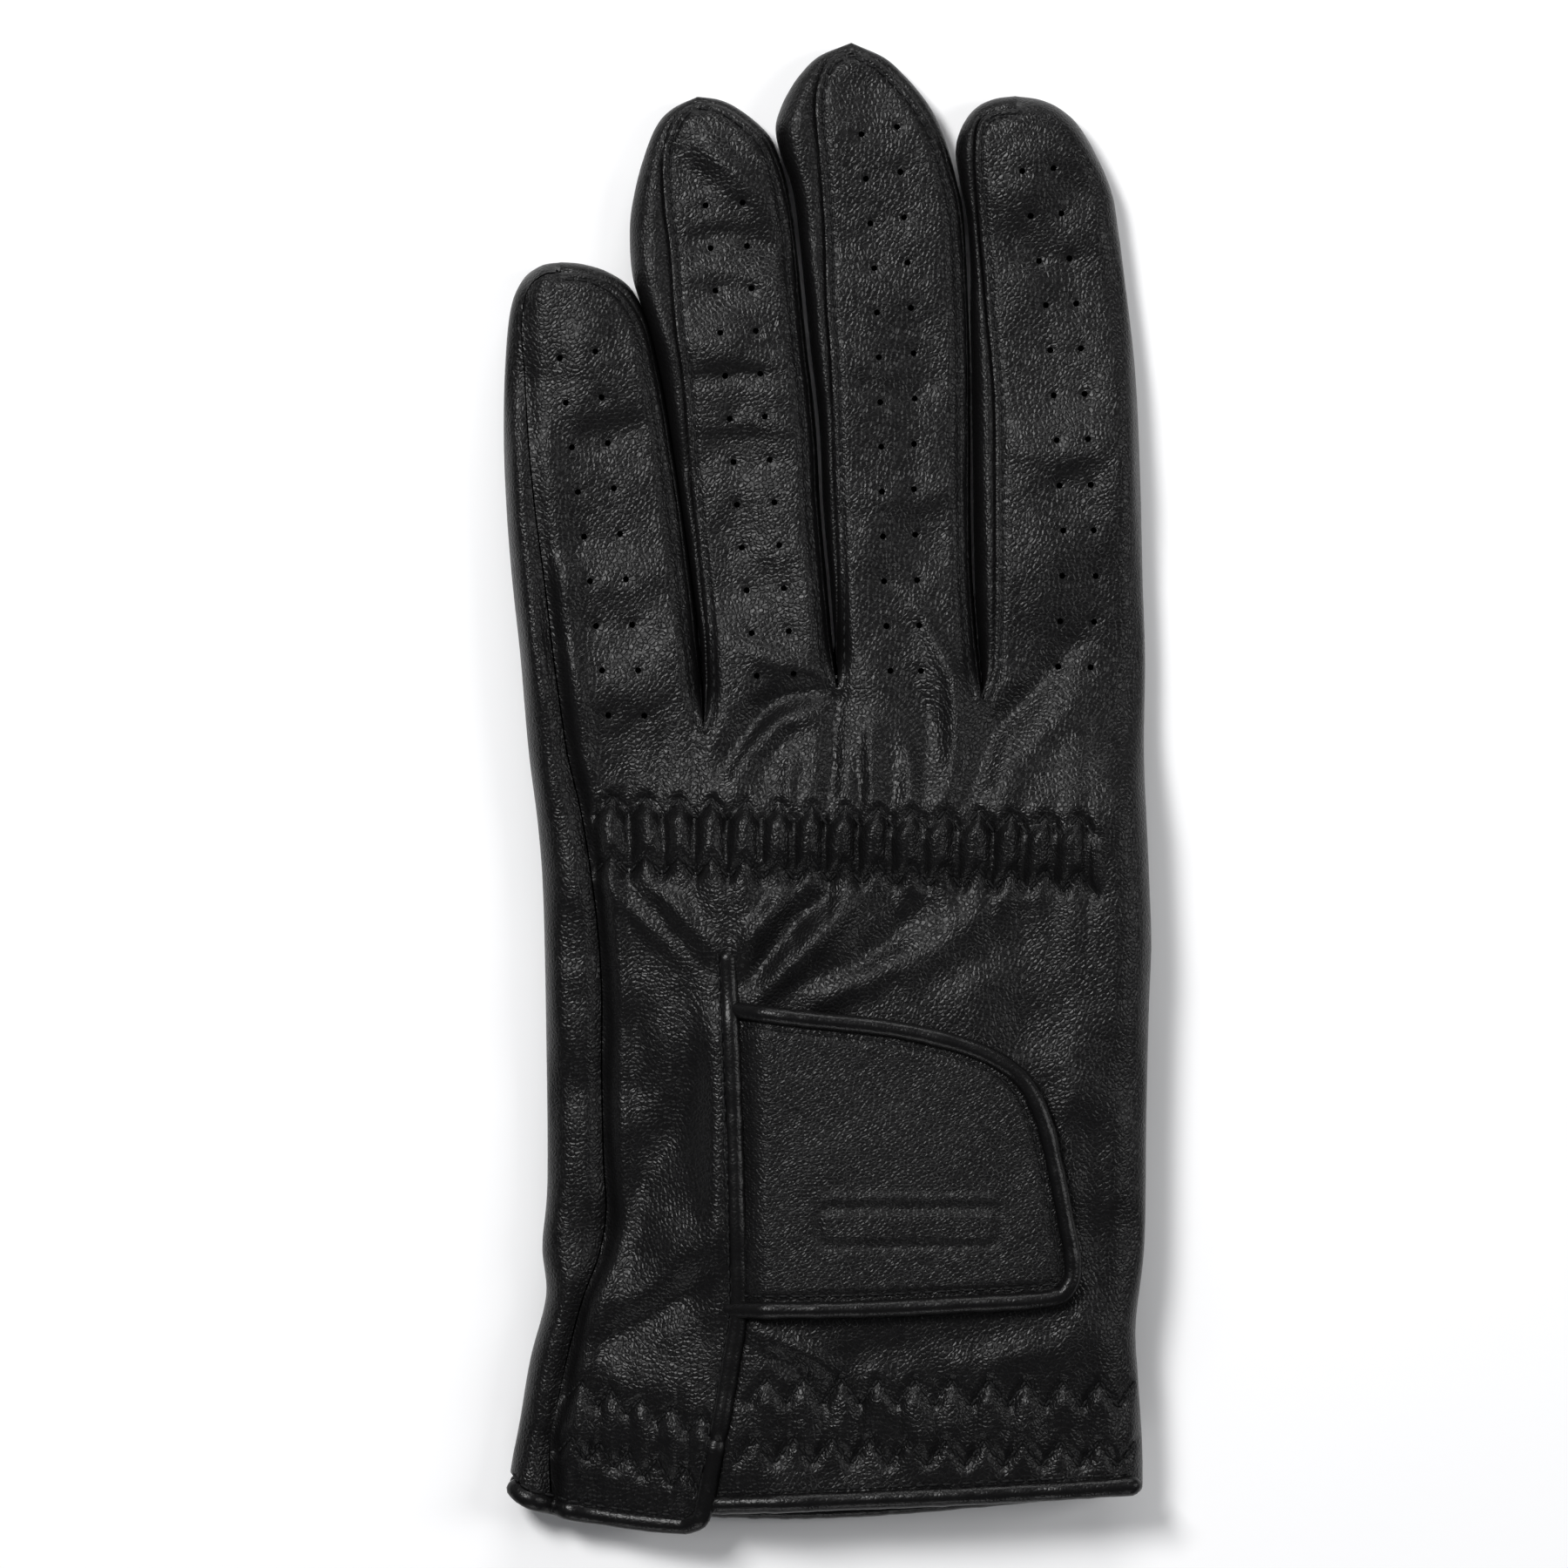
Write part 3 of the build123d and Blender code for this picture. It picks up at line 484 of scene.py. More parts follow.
def top_z(name, x, y, layer="leather"):
    """Height of the back leather over one finger and over the part of the hand below it."""
    q = fullness(name, x, y)
    mid = middle_level(x, y)
    z = mid + (top_level(x, y) - mid) * q + relief(x, y, layer) * smooth(q * 1.7 - 0.5)
    if name == "pinky":
        beside = x - inseam_x(y)
        hand = 1 - smooth((y - 20) / 30.0)
        z = z - (0.7 + 0.9 * hand) * np.exp(-(beside / 1.5)**2)
        z = z + (0.15 + 0.4 * hand) * np.exp(-((beside - 3.2) / 1.5)**2)
    for (finger, side), line in SEAMS.items():
        near = (y > line[0, 1] - 3) & (finger == name)
        if near.any():
            d, _ = distance(x[near], y[near], line)
            z[near] += 0.16 * np.exp(-((d - 0.45) / 0.4)**2) - 0.3 * np.exp(-((d - STITCH_INSET) / 0.42)**2)
    below = smooth((SLIT_TOP - y) / 14.0)
    if layer == "leather" and name != "pinky":
        z = z - 1.5 * below * (1 - smooth((x - slit_x(y) + 0.5) / 3.0))
    if layer == "flap":
        z = z + 0.35 * below * smooth((x - slit_x(y) + 9.0) / 8.0)
    return z


def under_z(name, x, y):
    """Height of the palm leather, seen from below."""
    q = fullness(name, x, y)
    mid = middle_level(x, y)
    return mid - (mid - bottom_level(x, y)) * q + 0.18 * noise2(x, y, 8.0, 9) * smooth(q * 1.7 - 0.5)


def under_hand(x, y):
    """The same for the whole width of the hand."""
    return np.where(x > 0, under_z("index", x, y), under_z("pinky", x, y))


# ------------------------------------------------------------------ the skin as grids of points
class Skin:
    """Outer faces of the leather, each with the name of the piece it belongs to."""

    def __init__(self):
        self.points, self.quads, self.names, self.count = [], [], [], 0

    def add(self, grid, name, keep=None):
        rows, cols = grid.shape[:2]
        index = np.arange(rows * cols).reshape(rows, cols) + self.count
        self.count += rows * cols
        quads = np.stack([index[:-1, :-1], index[:-1, 1:], index[1:, 1:], index[1:, :-1]], axis=-1)
        each_row = name if isinstance(name, list) else [name] * (rows - 1)
        names = np.broadcast_to(np.array(each_row)[:, None], quads.shape[:2])
        if keep is not None:
            quads, names = quads[keep], names[keep]
        self.points.append(grid.reshape(-1, 3))
        self.quads.append(quads.reshape(-1, 4))
        self.names.append(names.reshape(-1))

    def weld(self):
        """Joins points in the same place and finds the normal at each."""
        points, quads = np.vstack(self.points), np.vstack(self.quads)
        _, first, back = np.unique(np.round(points, 3), axis=0, return_index=True, return_inverse=True)
        self.p = points[first]
        self.q = np.reshape(back, -1)[quads]
        self.n = np.zeros_like(self.p)
        corner = self.p[self.q]
        cross = np.cross(corner[:, 2] - corner[:, 0], corner[:, 3] - corner[:, 1])
        for k in range(4):
            np.add.at(self.n, self.q[:, k], cross)
        self.n /= np.maximum(np.linalg.norm(self.n, axis=1), 1e-9)[:, None]
        self.name = np.concatenate(self.names)


def make_mesh(name, points, faces, normals=None):
    """A mesh object from points in millimetres; normals is one vector for each face corner."""
    mesh = bpy.data.meshes.new(name)
    mesh.from_pydata((np.asarray(points) * MM).tolist(), [], faces)
    mesh.polygons.foreach_set("use_smooth", [True] * len(mesh.polygons))
    if normals is not None:
        mesh.normals_split_custom_set(normals)
    obj = bpy.data.objects.new(name, mesh)
    bpy.context.scene.collection.objects.link(obj)
    return obj


def leather_piece(skin, name, thick=LEATHER):
    """One panel of leather, as thick as it should be, from the skin's faces of that name."""
    quads = skin.q[skin.name == name]
    used, back = np.unique(quads, return_inverse=True)
    quads = np.reshape(back, quads.shape)
    outer, normal = skin.p[used], skin.n[used]
    inner = outer - thick * normal
    count = len(used)
    top, edges = [], {}
    for quad in quads.tolist():
        face = [v for i, v in enumerate(quad) if v != quad[i - 1]]
        if len(set(face)) < 3 or len(set(face)) < len(face):
            continue
        top.append(face)
        for i, v in enumerate(face):
            edges[(face[i - 1], v)] = True
    faces = top + [[v + count for v in reversed(face)] for face in top]
    rim = [(a, b) for a, b in edges if (b, a) not in edges]
    faces += [[b, a, a + count, b + count] for a, b in rim]
    points = np.vstack([outer, inner])
    both = np.vstack([normal, -normal])
    corners = [both[v] for face in faces[:2 * len(top)] for v in face]
    for b, a, a_in, b_in in faces[2 * len(top):]:
        flat = np.cross(points[a] - points[b], points[a_in] - points[a])
        flat /= max(np.linalg.norm(flat), 1e-9)
        corners += [flat] * 4
    return make_mesh(name, points, faces, np.array(corners))


def sheet_piece(name, grid, thick):
    """One grid of points as a piece of its own."""
    sheet = Skin()
    sheet.add(grid, name)
    sheet.weld()
    return leather_piece(sheet, name, thick)


def settle(obj, slot, node=None, body="hand", **blend):
    """Gives a piece its material slot and hides the CAD node it stands for; puts it on its body, or, when a
    blend is given, only bakes its transform where it is.
    """
    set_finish(obj, slot)
    if node:
        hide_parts(node)
    if blend:
        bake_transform(obj)
    else:
        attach(obj, body)


def metres(x, y, z):
    return (x * MM, y * MM, z * MM)


def across(left, right, columns, pack=0.0):
    """Rows of points from left to right, both rows x 2, closer together at the ends by pack."""
    t = np.linspace(0, 1, columns)
    t = (t - pack * np.sin(2 * np.pi * t) / (2 * np.pi))[None, :, None]
    return left[:, None, :] * (1 - t) + right[:, None, :] * t


def even(grid, columns):
    """Each row of a fine grid of points resampled to that many, evenly spaced along it."""
    step = np.linalg.norm(np.diff(grid, axis=1), axis=2)
    s = np.concatenate([np.zeros((len(grid), 1)), np.cumsum(step, axis=1)], axis=1)
    out = np.zeros((len(grid), columns, grid.shape[2]))
    for r in range(len(grid)):
        at = np.linspace(0, s[r, -1], columns)
        for k in range(grid.shape[2]):
            out[r, :, k] = np.interp(at, s[r], grid[r, :, k])
    return out


FINE = 40
ANGLE = np.linspace(0, np.pi / 2, FINE)


def inwards(edge, sil, reach):
    """Plan points from edge out to the silhouette, packed where the surface turns down."""
    full = np.linalg.norm(edge - sil, axis=1)[:, None]
    reach = np.minimum(reach, full)
    flat = full + (reach - full) * np.linspace(0, 1, 16)[None, :-1]
    turn = reach * (1 - np.sin(ANGLE))[None, :]
    d = np.concatenate([flat, turn], axis=1)
    share = d / np.maximum(full, 1e-6)
    return sil[:, None, :] + (edge - sil)[:, None, :] * share[:, :, None], d


def wrap_top(name, edge, sil, columns):
    """The leather from edge out to the silhouette, where it stands upright."""
    plan, _ = inwards(edge, sil, ROUND)
    return even(np.dstack([plan, top_z(name, plan[..., 0], plan[..., 1])]), columns)


def wrap_low(name, sil, edge, columns):
    """The leather from the silhouette round to edge, underneath."""
    plan, _ = inwards(edge, sil, ROUND)
    return even(np.dstack([plan, under_z(name, plan[..., 0], plan[..., 1])])[:, ::-1], columns)


TUCK = 0.95  # how far a side strip's edges go in under the back and the palm leather
TUCK_FADE = 1.3


def side_strip(name, edge, sil, low_edge, columns):
    """A fourchette: from under the back's edge, out to the silhouette and down under the palm's edge."""
    plan, d = inwards(edge, sil, ROUND)
    mid = middle_level(plan[..., 0], plan[..., 1])
    full = d[:, :1]
    z_edge = top_z(name, edge[:, 0], edge[:, 1])[:, None]
    rise = rounding(d, ROUND) / np.maximum(rounding(full, ROUND), 0.05)
    drop = TUCK * np.exp(-(full - d) / TUCK_FADE)
    ripple = 0.16 * noise2(plan[..., 0] + 40, plan[..., 1], 3.2, 21) * np.sin(np.pi * np.clip(d / full, 0, 1))
    z = mid + (z_edge - drop - mid) * rise + ripple
    under_plan, under_d = inwards(low_edge, sil, ROUND)
    under_mid = middle_level(under_plan[..., 0], under_plan[..., 1])
    under_bottom = bottom_level(under_plan[..., 0], under_plan[..., 1])
    under_full = under_d[:, :1]
    z_low = under_mid - (under_mid - under_bottom) * rounding(under_d, ROUND)
    z_low = z_low + TUCK * np.exp(-(under_full - under_d) / TUCK_FADE)
    # the last row on each edge goes 1 mm further in, out of sight
    inside = (edge - sil) / np.maximum(full, 0.3)
    tucked = np.concatenate([edge + inside, z_edge - 1.05], axis=1)[:, None, :]
    low_inside = (low_edge - sil) / np.maximum(under_full, 0.3)
    low_tucked = np.concatenate([low_edge + low_inside, z_low[:, :1] + 0.1], axis=1)[:, None, :]
    upper = np.dstack([plan, z])
    lower = np.dstack([under_plan, z_low])[:, ::-1]
    return even(np.concatenate([tucked, upper, lower[:, 1:], low_tucked], axis=1), columns)


# ------------------------------------------------------------------ rows of the hand and the fingers
CUFF_Y = -118.0
HEM_FROM = -88.0
hand_rows = np.linspace(CUFF_Y, SPLIT_Y, int((SPLIT_Y - CUFF_Y) / GRID) + 1)
PINKY_RING_LINE = x_of([(-16.2, -26.3), (-17.2, -12.0), (-18.6, 0.0), (-19.8, 9.4)])
RING_MIDDLE_LINE = x_of([(2.6, -118), (2.6, -40.0), (2.4, 0.0), (1.7, 15.8)])
MIDDLE_INDEX_LINE = x_of([(26.0, -118), (25.8, -40.0), (25.4, 0.0), (25.1, 14.3)])


def group_edges(name, y):
    """x of the left and right edges of one finger's column of back leather at heights y in the hand."""
    f = FINGERS[name]
    low, high = f["crotch"]
    own_left, own_right = x_of(f["top_left"][:6])(y), x_of(f["top_right"][:6])(y)
    if name == "pinky":
        line = np.where(y < SLIT_TOP, slit_x(y), PINKY_RING_LINE(y))
        return inseam_x(y), np.where(y > high, own_right, line)
    if name == "ring":
        under = slit_x(y) - OVERLAP * smooth((SLIT_TOP - y) / 10.0)
        line = np.where(y < SLIT_TOP, under, PINKY_RING_LINE(y))
        return np.where(y > low, own_left, line), np.where(y > high, own_right, RING_MIDDLE_LINE(y))
    if name == "middle":
        return (np.where(y > low, own_left, RING_MIDDLE_LINE(y)),
                np.where(y > high, own_right, MIDDLE_INDEX_LINE(y)))
    return np.where(y > low, own_left, MIDDLE_INDEX_LINE(y)), np.where(y > 8, own_right, right_x(y) - 4.6)


def hemmed(x, y, hem_y):
    """Rows near the cuff lean to follow its edge."""
    t = np.clip((HEM_FROM - y) / (HEM_FROM - CUFF_Y), 0, 1)
    return np.where(y < HEM_FROM, HEM_FROM + (hem_y(x) - HEM_FROM) * t, y)


COLUMNS = {"pinky": 39, "ring": 39, "middle": 41, "index": 39}
PACK = 0.25


def above(line, y):
    """The part of a line above y, starting exactly there."""
    order = line[:, 1]
    first = int(np.argmax(order > y))
    a, b = line[first - 1], line[first]
    start = a + (b - a) * (y - a[1]) / (b[1] - a[1])
    return np.vstack([start, line[first:]])


def finger_rows(name):
    """Plan lines of one finger above the split: the back leather's edges and the silhouettes."""
    f = FINGERS[name]
    keys = ("top_left", "top_right", "sil_left", "sil_right")
    lines = {key: above(spline(f[key]), SPLIT_Y) for key in keys}
    count = int(max(lengths(lines["sil_left"])[-1], lengths(lines["sil_right"])[-1]) / GRID) + 1
    return {key: resample(line, count) for key, line in lines.items()}


ROWS = {name: finger_rows(name) for name in FINGERS}


def back_plan(name):
    """Plan of the back leather of one finger and of the hand below it, rows x columns x 2."""
    left, right = group_edges(name, hand_rows)
    hem_y = flap_edge_y if name == "pinky" else back_edge_y
    left, right = (np.stack([x, hand_rows], axis=1) for x in (left, right))
    plan = across(left, right, COLUMNS[name], PACK)
    for _ in range(2):
        y = hemmed(plan[..., 0], hand_rows[:, None] + 0 * plan[..., 0], hem_y)
        plan = np.dstack([plan[..., 0], y])
    tip = across(ROWS[name]["top_left"], ROWS[name]["top_right"], COLUMNS[name], PACK)
    tip[0] = plan[-1]
    return np.concatenate([plan, tip[1:]], axis=0)


HOLE = 0.52  # radius of a perforation


def hole_centres(name):
    centres = []
    for line in FINGERS[name]["hole_lines"]:
        centres += list(resample(spline(line), FINGERS[name]["holes"]))
    return np.array(centres)


def perforate(plan, centres):
    """Opens a hole at each centre: drops four faces and moves the eight points round them."""
    rows, cols = plan.shape[:2]
    keep = np.ones((rows - 1, cols - 1), bool)
    ring = [(-1, -1), (-1, 0), (-1, 1), (0, 1), (1, 1), (1, 0), (1, -1), (0, -1)]
    for centre in centres:
        gap = np.linalg.norm(plan - centre, axis=2)
        r, c = np.unravel_index(np.argmin(gap), gap.shape)
        keep[r - 1:r + 1, c - 1:c + 1] = False
        first = math.atan2(*(plan[r - 1, c - 1] - plan[r, c])[::-1])
        for k, (dr, dc) in enumerate(ring):
            turn = first + k * math.pi / 4
            plan[r + dr, c + dc] = centre + HOLE * np.array([math.cos(turn), math.sin(turn)])
    return keep


skin = Skin()
SPLIT_ROW = len(hand_rows) - 1
SLIT_ROW = int(np.argmin(np.abs(hand_rows - SLIT_TOP)))
HOLES = np.vstack([hole_centres(name) for name in FINGERS])


def dimples(x, y):
    out = np.zeros_like(x)
    for cx, cy in HOLES:
        near = (np.abs(x - cx) < 3) & (np.abs(y - cy) < 3)
        out[near] -= 0.22 * np.exp(-((x[near] - cx)**2 + (y[near] - cy)**2) / 0.9)
    return out


for name in FINGERS:
    plan = back_plan(name)
    keep = perforate(plan, hole_centres(name))
    x, y = plan[..., 0], plan[..., 1]
    z = top_z(name, x, y)
    if name == "pinky":
        flap_z = top_z(name, x, y, "flap")
        z[:SLIT_ROW] = flap_z[:SLIT_ROW]
    z = z + dimples(x, y)
    grid = np.dstack([x, y, z])
    below = "flap_leather" if name == "pinky" else "back_leather"
    labels = [below] * SLIT_ROW + ["back_leather"] * (SPLIT_ROW - SLIT_ROW)
    labels += [name + "_back_leather"] * (len(plan) - 1 - SPLIT_ROW)
    skin.add(grid, labels, keep)

# the index side, which wraps round from the back to the palm with no seam
rows = ROWS["index"]
edge = np.vstack([back_plan("index")[:SPLIT_ROW + 1, -1], rows["top_right"][1:]])
hand_sil = np.stack([right_x(edge[:SPLIT_ROW + 1, 1]), edge[:SPLIT_ROW + 1, 1]], axis=1)
sil = np.vstack([hand_sil, rows["sil_right"][1:]])
labels = ["back_leather"] * SPLIT_ROW + ["index_back_leather"] * (len(edge) - 1 - SPLIT_ROW)
index_low = sil + (edge - sil) * 0.7
skin.add(wrap_top("index", edge, sil, 12), labels)
skin.add(wrap_low("index", sil, index_low, 8), labels)

# the little-finger side, which is palm leather up to the inseam
rows = ROWS["pinky"]
flap_ys = back_plan("pinky")[:SPLIT_ROW + 1, 0, 1]
edge = np.vstack([np.stack([inseam_x(flap_ys), flap_ys], axis=1), rows["top_left"][1:]])
side_ys = hemmed(left_x(hand_rows), hand_rows, flap_edge_y)
hand_sil = np.stack([left_x(side_ys), side_ys], axis=1)
sil = np.vstack([hand_sil, rows["sil_left"][1:]])
pinky_low = sil + (edge - sil) * 0.6
labels = ["palm_leather"] * SPLIT_ROW + ["pinky_palm_leather"] * (len(edge) - 1 - SPLIT_ROW)
seam_gap = (edge - sil) / np.maximum(np.linalg.norm(edge - sil, axis=1), 0.3)[:, None] * 0.25
skin.add(wrap_top("pinky", edge - seam_gap, sil, 16)[:, ::-1], labels)
skin.add(wrap_low("pinky", sil, pinky_low, 8)[:, ::-1], labels)

# the palm side, from the index side across to the little-finger side
PALM_COLUMNS = 60
THUMB_HOLE = (32.0, -46.0)
THUMB_HOLE_HALF = (9.5, 11.5)


def in_thumb_hole(grid):
    """Which faces of a grid are in the hole between the palm and the thumb."""
    face = 0.5 * (grid[:-1, :-1] + grid[1:, 1:])
    return ((np.abs(face[..., 0] - THUMB_HOLE[0]) < THUMB_HOLE_HALF[0])
            & (np.abs(face[..., 1] - THUMB_HOLE[1]) < THUMB_HOLE_HALF[1]))


labels = ["palm_leather"] * SPLIT_ROW
right_low, left_low = index_low[:SPLIT_ROW + 1], pinky_low[:SPLIT_ROW + 1]
plan = across(right_low, left_low, PALM_COLUMNS)
near_hem = np.clip((HEM_FROM - hand_rows) / (HEM_FROM - CUFF_Y), 0, 1)[:, None]
hem = palm_edge_y(plan[..., 0])
straight = hem[:, :1] + (hem[:, -1:] - hem[:, :1]) * np.linspace(0, 1, PALM_COLUMNS)[None, :]
plan[..., 1] += near_hem * (hem - straight)
skin.add(np.dstack([plan, under_hand(plan[..., 0], plan[..., 1])]), labels, ~in_thumb_hole(plan))

# the palm leather and the side strips of the fingers, with a strip turning at each crotch
SIDE_COLUMNS = 18
LOW_INSET = 1.3


def low_line(edge, sil):
    """The edge of the palm leather of a finger, just inside its silhouette."""
    gap = np.linalg.norm(edge - sil, axis=1)[:, None]
    return sil + (edge - sil) / np.maximum(gap, 0.4) * LOW_INSET


LOW = {}
for name in FINGERS:
    rows = ROWS[name]
    left = pinky_low[SPLIT_ROW:] if name == "pinky" else low_line(rows["top_left"], rows["sil_left"])
    right = index_low[SPLIT_ROW:] if name == "index" else low_line(rows["top_right"], rows["sil_right"])
    LOW[name] = (left, right)
    plan = across(right, left, 26)
    z = under_z(name, plan[..., 0], plan[..., 1])
    skin.add(np.dstack([plan, z]), name + "_palm_leather")


def strip_rows(name, side):
    """Edge, silhouette and lower edge of one side of a finger, from its crotch to its tip."""
    f = FINGERS[name]
    crotch = f["crotch"][SIDES.index(side)]
    edge_line = above(spline(f["top_" + side]), crotch)
    sil_line = above(spline(f["sil_" + side]), crotch + 1.6)
    count = int(lengths(sil_line)[-1] / GRID) + 1
    edge_line, sil_line = resample(edge_line, count), resample(sil_line, count)
    return edge_line, sil_line, low_line(edge_line, sil_line)


for left_name, right_name in (("pinky", "ring"), ("ring", "middle"), ("middle", "index")):
    a_edge, a_sil, a_low = strip_rows(left_name, "right")
    b_edge, b_sil, b_low = strip_rows(right_name, "left")
    crotch = 0.5 * (a_edge[0] + b_edge[0])
    turn = 0.5 * (a_sil[0] + b_sil[0])
    for edge_line, sil_line, low in ((a_edge, a_sil, a_low), (b_edge, b_sil, b_low)):
        fade = np.exp(-np.arange(len(edge_line)) / 2.5)[:, None]
        edge_line += (crotch - edge_line[0]) * fade
        sil_line += (turn - sil_line[0]) * fade
        low += (crotch + np.array([0, 0.3]) - low[0]) * fade
    a = side_strip(left_name, a_edge, a_sil, a_low, SIDE_COLUMNS)
    b = side_strip(right_name, b_edge, b_sil, b_low, SIDE_COLUMNS)
    b[0] = a[0]
    fork = left_name + "_" + right_name + "_fork"
    for side_name, grid, sil_line in ((left_name + "_right_side", a, a_sil),
                                      (right_name + "_left_side", b[:, ::-1], b_sil)):
        split = int(np.argmax(sil_line[:, 1] > SPLIT_Y + 2.2))
        labels = [fork] * split + [side_name] * (len(grid) - 1 - split)
        skin.add(grid, labels)

skin.weld()

# ------------------------------------------------------------------ leather pieces, the hand's on its body and the fingers' baked in place
def bend(finger):
    x, z = JOINT_X[finger + "_finger"], CURL_Z * MM
    return dict(body=finger + "_finger", start=(x, (CURL_Y - BEND) * MM, z), end=(x, (CURL_Y + BEND) * MM, z))


NODES = {"back_leather": "back_panel", "flap_leather": "cuff_flap", "palm_leather": "palm_panel"}
for name in sorted(set(skin.name)):
    piece = leather_piece(skin, name)
    finger = name.split("_")[0]
    node = NODES.get(name) or name.replace("_leather", "").replace("_side", "_fourchette")
    if name.endswith("fork"):
        settle(piece, "side_leather", name.replace("_fork", "_fourchette_fork"))
    elif finger in FINGERS:
        settle(piece, "side_leather" if name.endswith("side") else "leather", node, **bend(finger))
    else:
        settle(piece, "leather", node)


# ------------------------------------------------------------------ thread
def surface(name, points, layer="leather", lift=0.0):
    """The points of a plan line, laid on the back leather."""
    z = top_z(name, points[:, 0], points[:, 1], layer) + lift
    return np.column_stack([points, z])


def offset(line, by):
    """A plan line moved sideways, to its right when by is positive."""
    along = np.gradient(line, axis=0)
    along /= np.maximum(np.linalg.norm(along, axis=1), 1e-9)[:, None]
    return line + by * np.stack([along[:, 1], -along[:, 0]], axis=1)


def stitches_along(line, length, pitch, start=0.5):
    """First and last plan point of each stitch along a line."""
    s = lengths(line)
    at = np.arange(start, s[-1] - length, pitch)

    def place(t):
        return np.stack([np.interp(t, s, line[:, k]) for k in (0, 1)], axis=1)

    return np.stack([place(at), place(at + length)], axis=1)


def tube_faces(first, rings, around):
    """Faces round the rings of a closed tube whose points start at first."""
    faces = []
    for low in range(first, first + (rings - 1) * around, around):
        for k in range(around):
            n = (k + 1) % around
            faces.append([low + k, low + around + k, low + around + n, low + n])
    last = first + (rings - 1) * around
    return faces + [[first + k for k in range(around)], [last + k for k in reversed(range(around))]]


STITCH_RINGS = np.array([-1.0, -0.9, -0.55, 0.0, 0.55, 0.9, 1.0])
STITCH_AROUND = 7


def thread_piece(name, starts, ends, radius=0.24):
    """Many short stitches as one mesh: each is a rounded rod from its start to its end, in space."""
    points, faces = [], []
    for a, b in zip(starts, ends):
        axis = b - a
        half = np.linalg.norm(axis) / 2
        axis = axis / (2 * half)
        side = np.cross(axis, [0, 0, 1.0])
        side /= np.linalg.norm(side)
        up = np.cross(side, axis)
        middle = (a + b) / 2
        faces += tube_faces(len(points), len(STITCH_RINGS), STITCH_AROUND)
        for t in STITCH_RINGS:
            r = radius * math.sqrt(max(1 - t**4, 0.02))
            for k in range(STITCH_AROUND):
                turn = 2 * math.pi * k / STITCH_AROUND
                points.append(middle + axis * half * t + r * (math.cos(turn) * side + math.sin(turn) * up))
    return make_mesh(name, points, faces)


def laid_stitches(name, finger_pairs, layer="leather", radius=0.24, lift=0.1):
    """Stitches laid on the back leather; finger_pairs holds (finger, pairs of plan points)."""
    starts, ends = [], []
    for finger, pairs in finger_pairs:
        if len(pairs):
            starts.append(surface(finger, pairs[:, 0], layer, lift))
            ends.append(surface(finger, pairs[:, 1], layer, lift))
    return thread_piece(name, np.vstack(starts), np.vstack(ends), radius)


STITCH = 1.55
PITCH = 2.1
for finger in FINGERS:
    high_pairs, low_pairs = [], []
    for side, sign in zip(SIDES, (1, -1)):
        if (finger, side) in SEAMS:
            line = offset(SEAMS[finger, side], sign * STITCH_INSET)
            pairs = stitches_along(line, STITCH, PITCH)
            above_split = pairs[:, 0, 1] > SPLIT_Y
            high_pairs.append((finger, pairs[above_split]))
            low_pairs.append((finger, pairs[~above_split]))
    settle(laid_stitches(finger + "_seam_thread", high_pairs), "thread", **bend(finger))
    if sum(len(pairs) for _, pairs in low_pairs):
        settle(laid_stitches(finger + "_root_thread", low_pairs), "thread")


def group_of(x, y):
    """Which finger's column of back leather a point of the hand is in."""
    if x < float(PINKY_RING_LINE(max(y, SLIT_TOP))):
        return "pinky"
    if x < float(RING_MIDDLE_LINE(y)):
        return "ring"
    return "middle" if x < float(MIDDLE_INDEX_LINE(y)) else "index"


def zigzag_pairs(corners, parts, share=0.8):
    """Stitches of a zigzag row, that many in each leg."""
    pairs = []
    for a, b in zip(corners[:-1], corners[1:]):
        for k in range(parts):
            t0 = (k + 0.5 - share / 2) / parts
            t1 = (k + 0.5 + share / 2) / parts
            pairs.append([a + (b - a) * t0, a + (b - a) * t1])
    return np.array(pairs)


def zigzag_thread(name, rows, parts, layer, node):
    by_group = []
    for corners in rows:
        pairs = zigzag_pairs(corners, parts)
        names = [group_of(*p.mean(0)) if layer == "leather" else "pinky" for p in pairs]
        for finger in FINGERS:
            chosen = [p for p, n in zip(pairs, names) if n == finger]
            if chosen:
                by_group.append((finger, np.array(chosen)))
    settle(laid_stitches(name, by_group, layer, radius=0.27, lift=0.16), "thread", node)


zigzag_thread("knuckle_thread", KNUCKLE_ZIGZAGS, 2, "leather", "knuckle_zigzag_thread")
zigzag_thread("back_cuff_thread", BACK_ZIGZAGS, 3, "leather", "back_zigzag_thread")
zigzag_thread("flap_cuff_thread", FLAP_ZIGZAGS, 3, "flap", "flap_zigzag_thread")


# ------------------------------------------------------------------ rolled edges
ROLL_AROUND = 14
ROLL_WOBBLE = 0.06


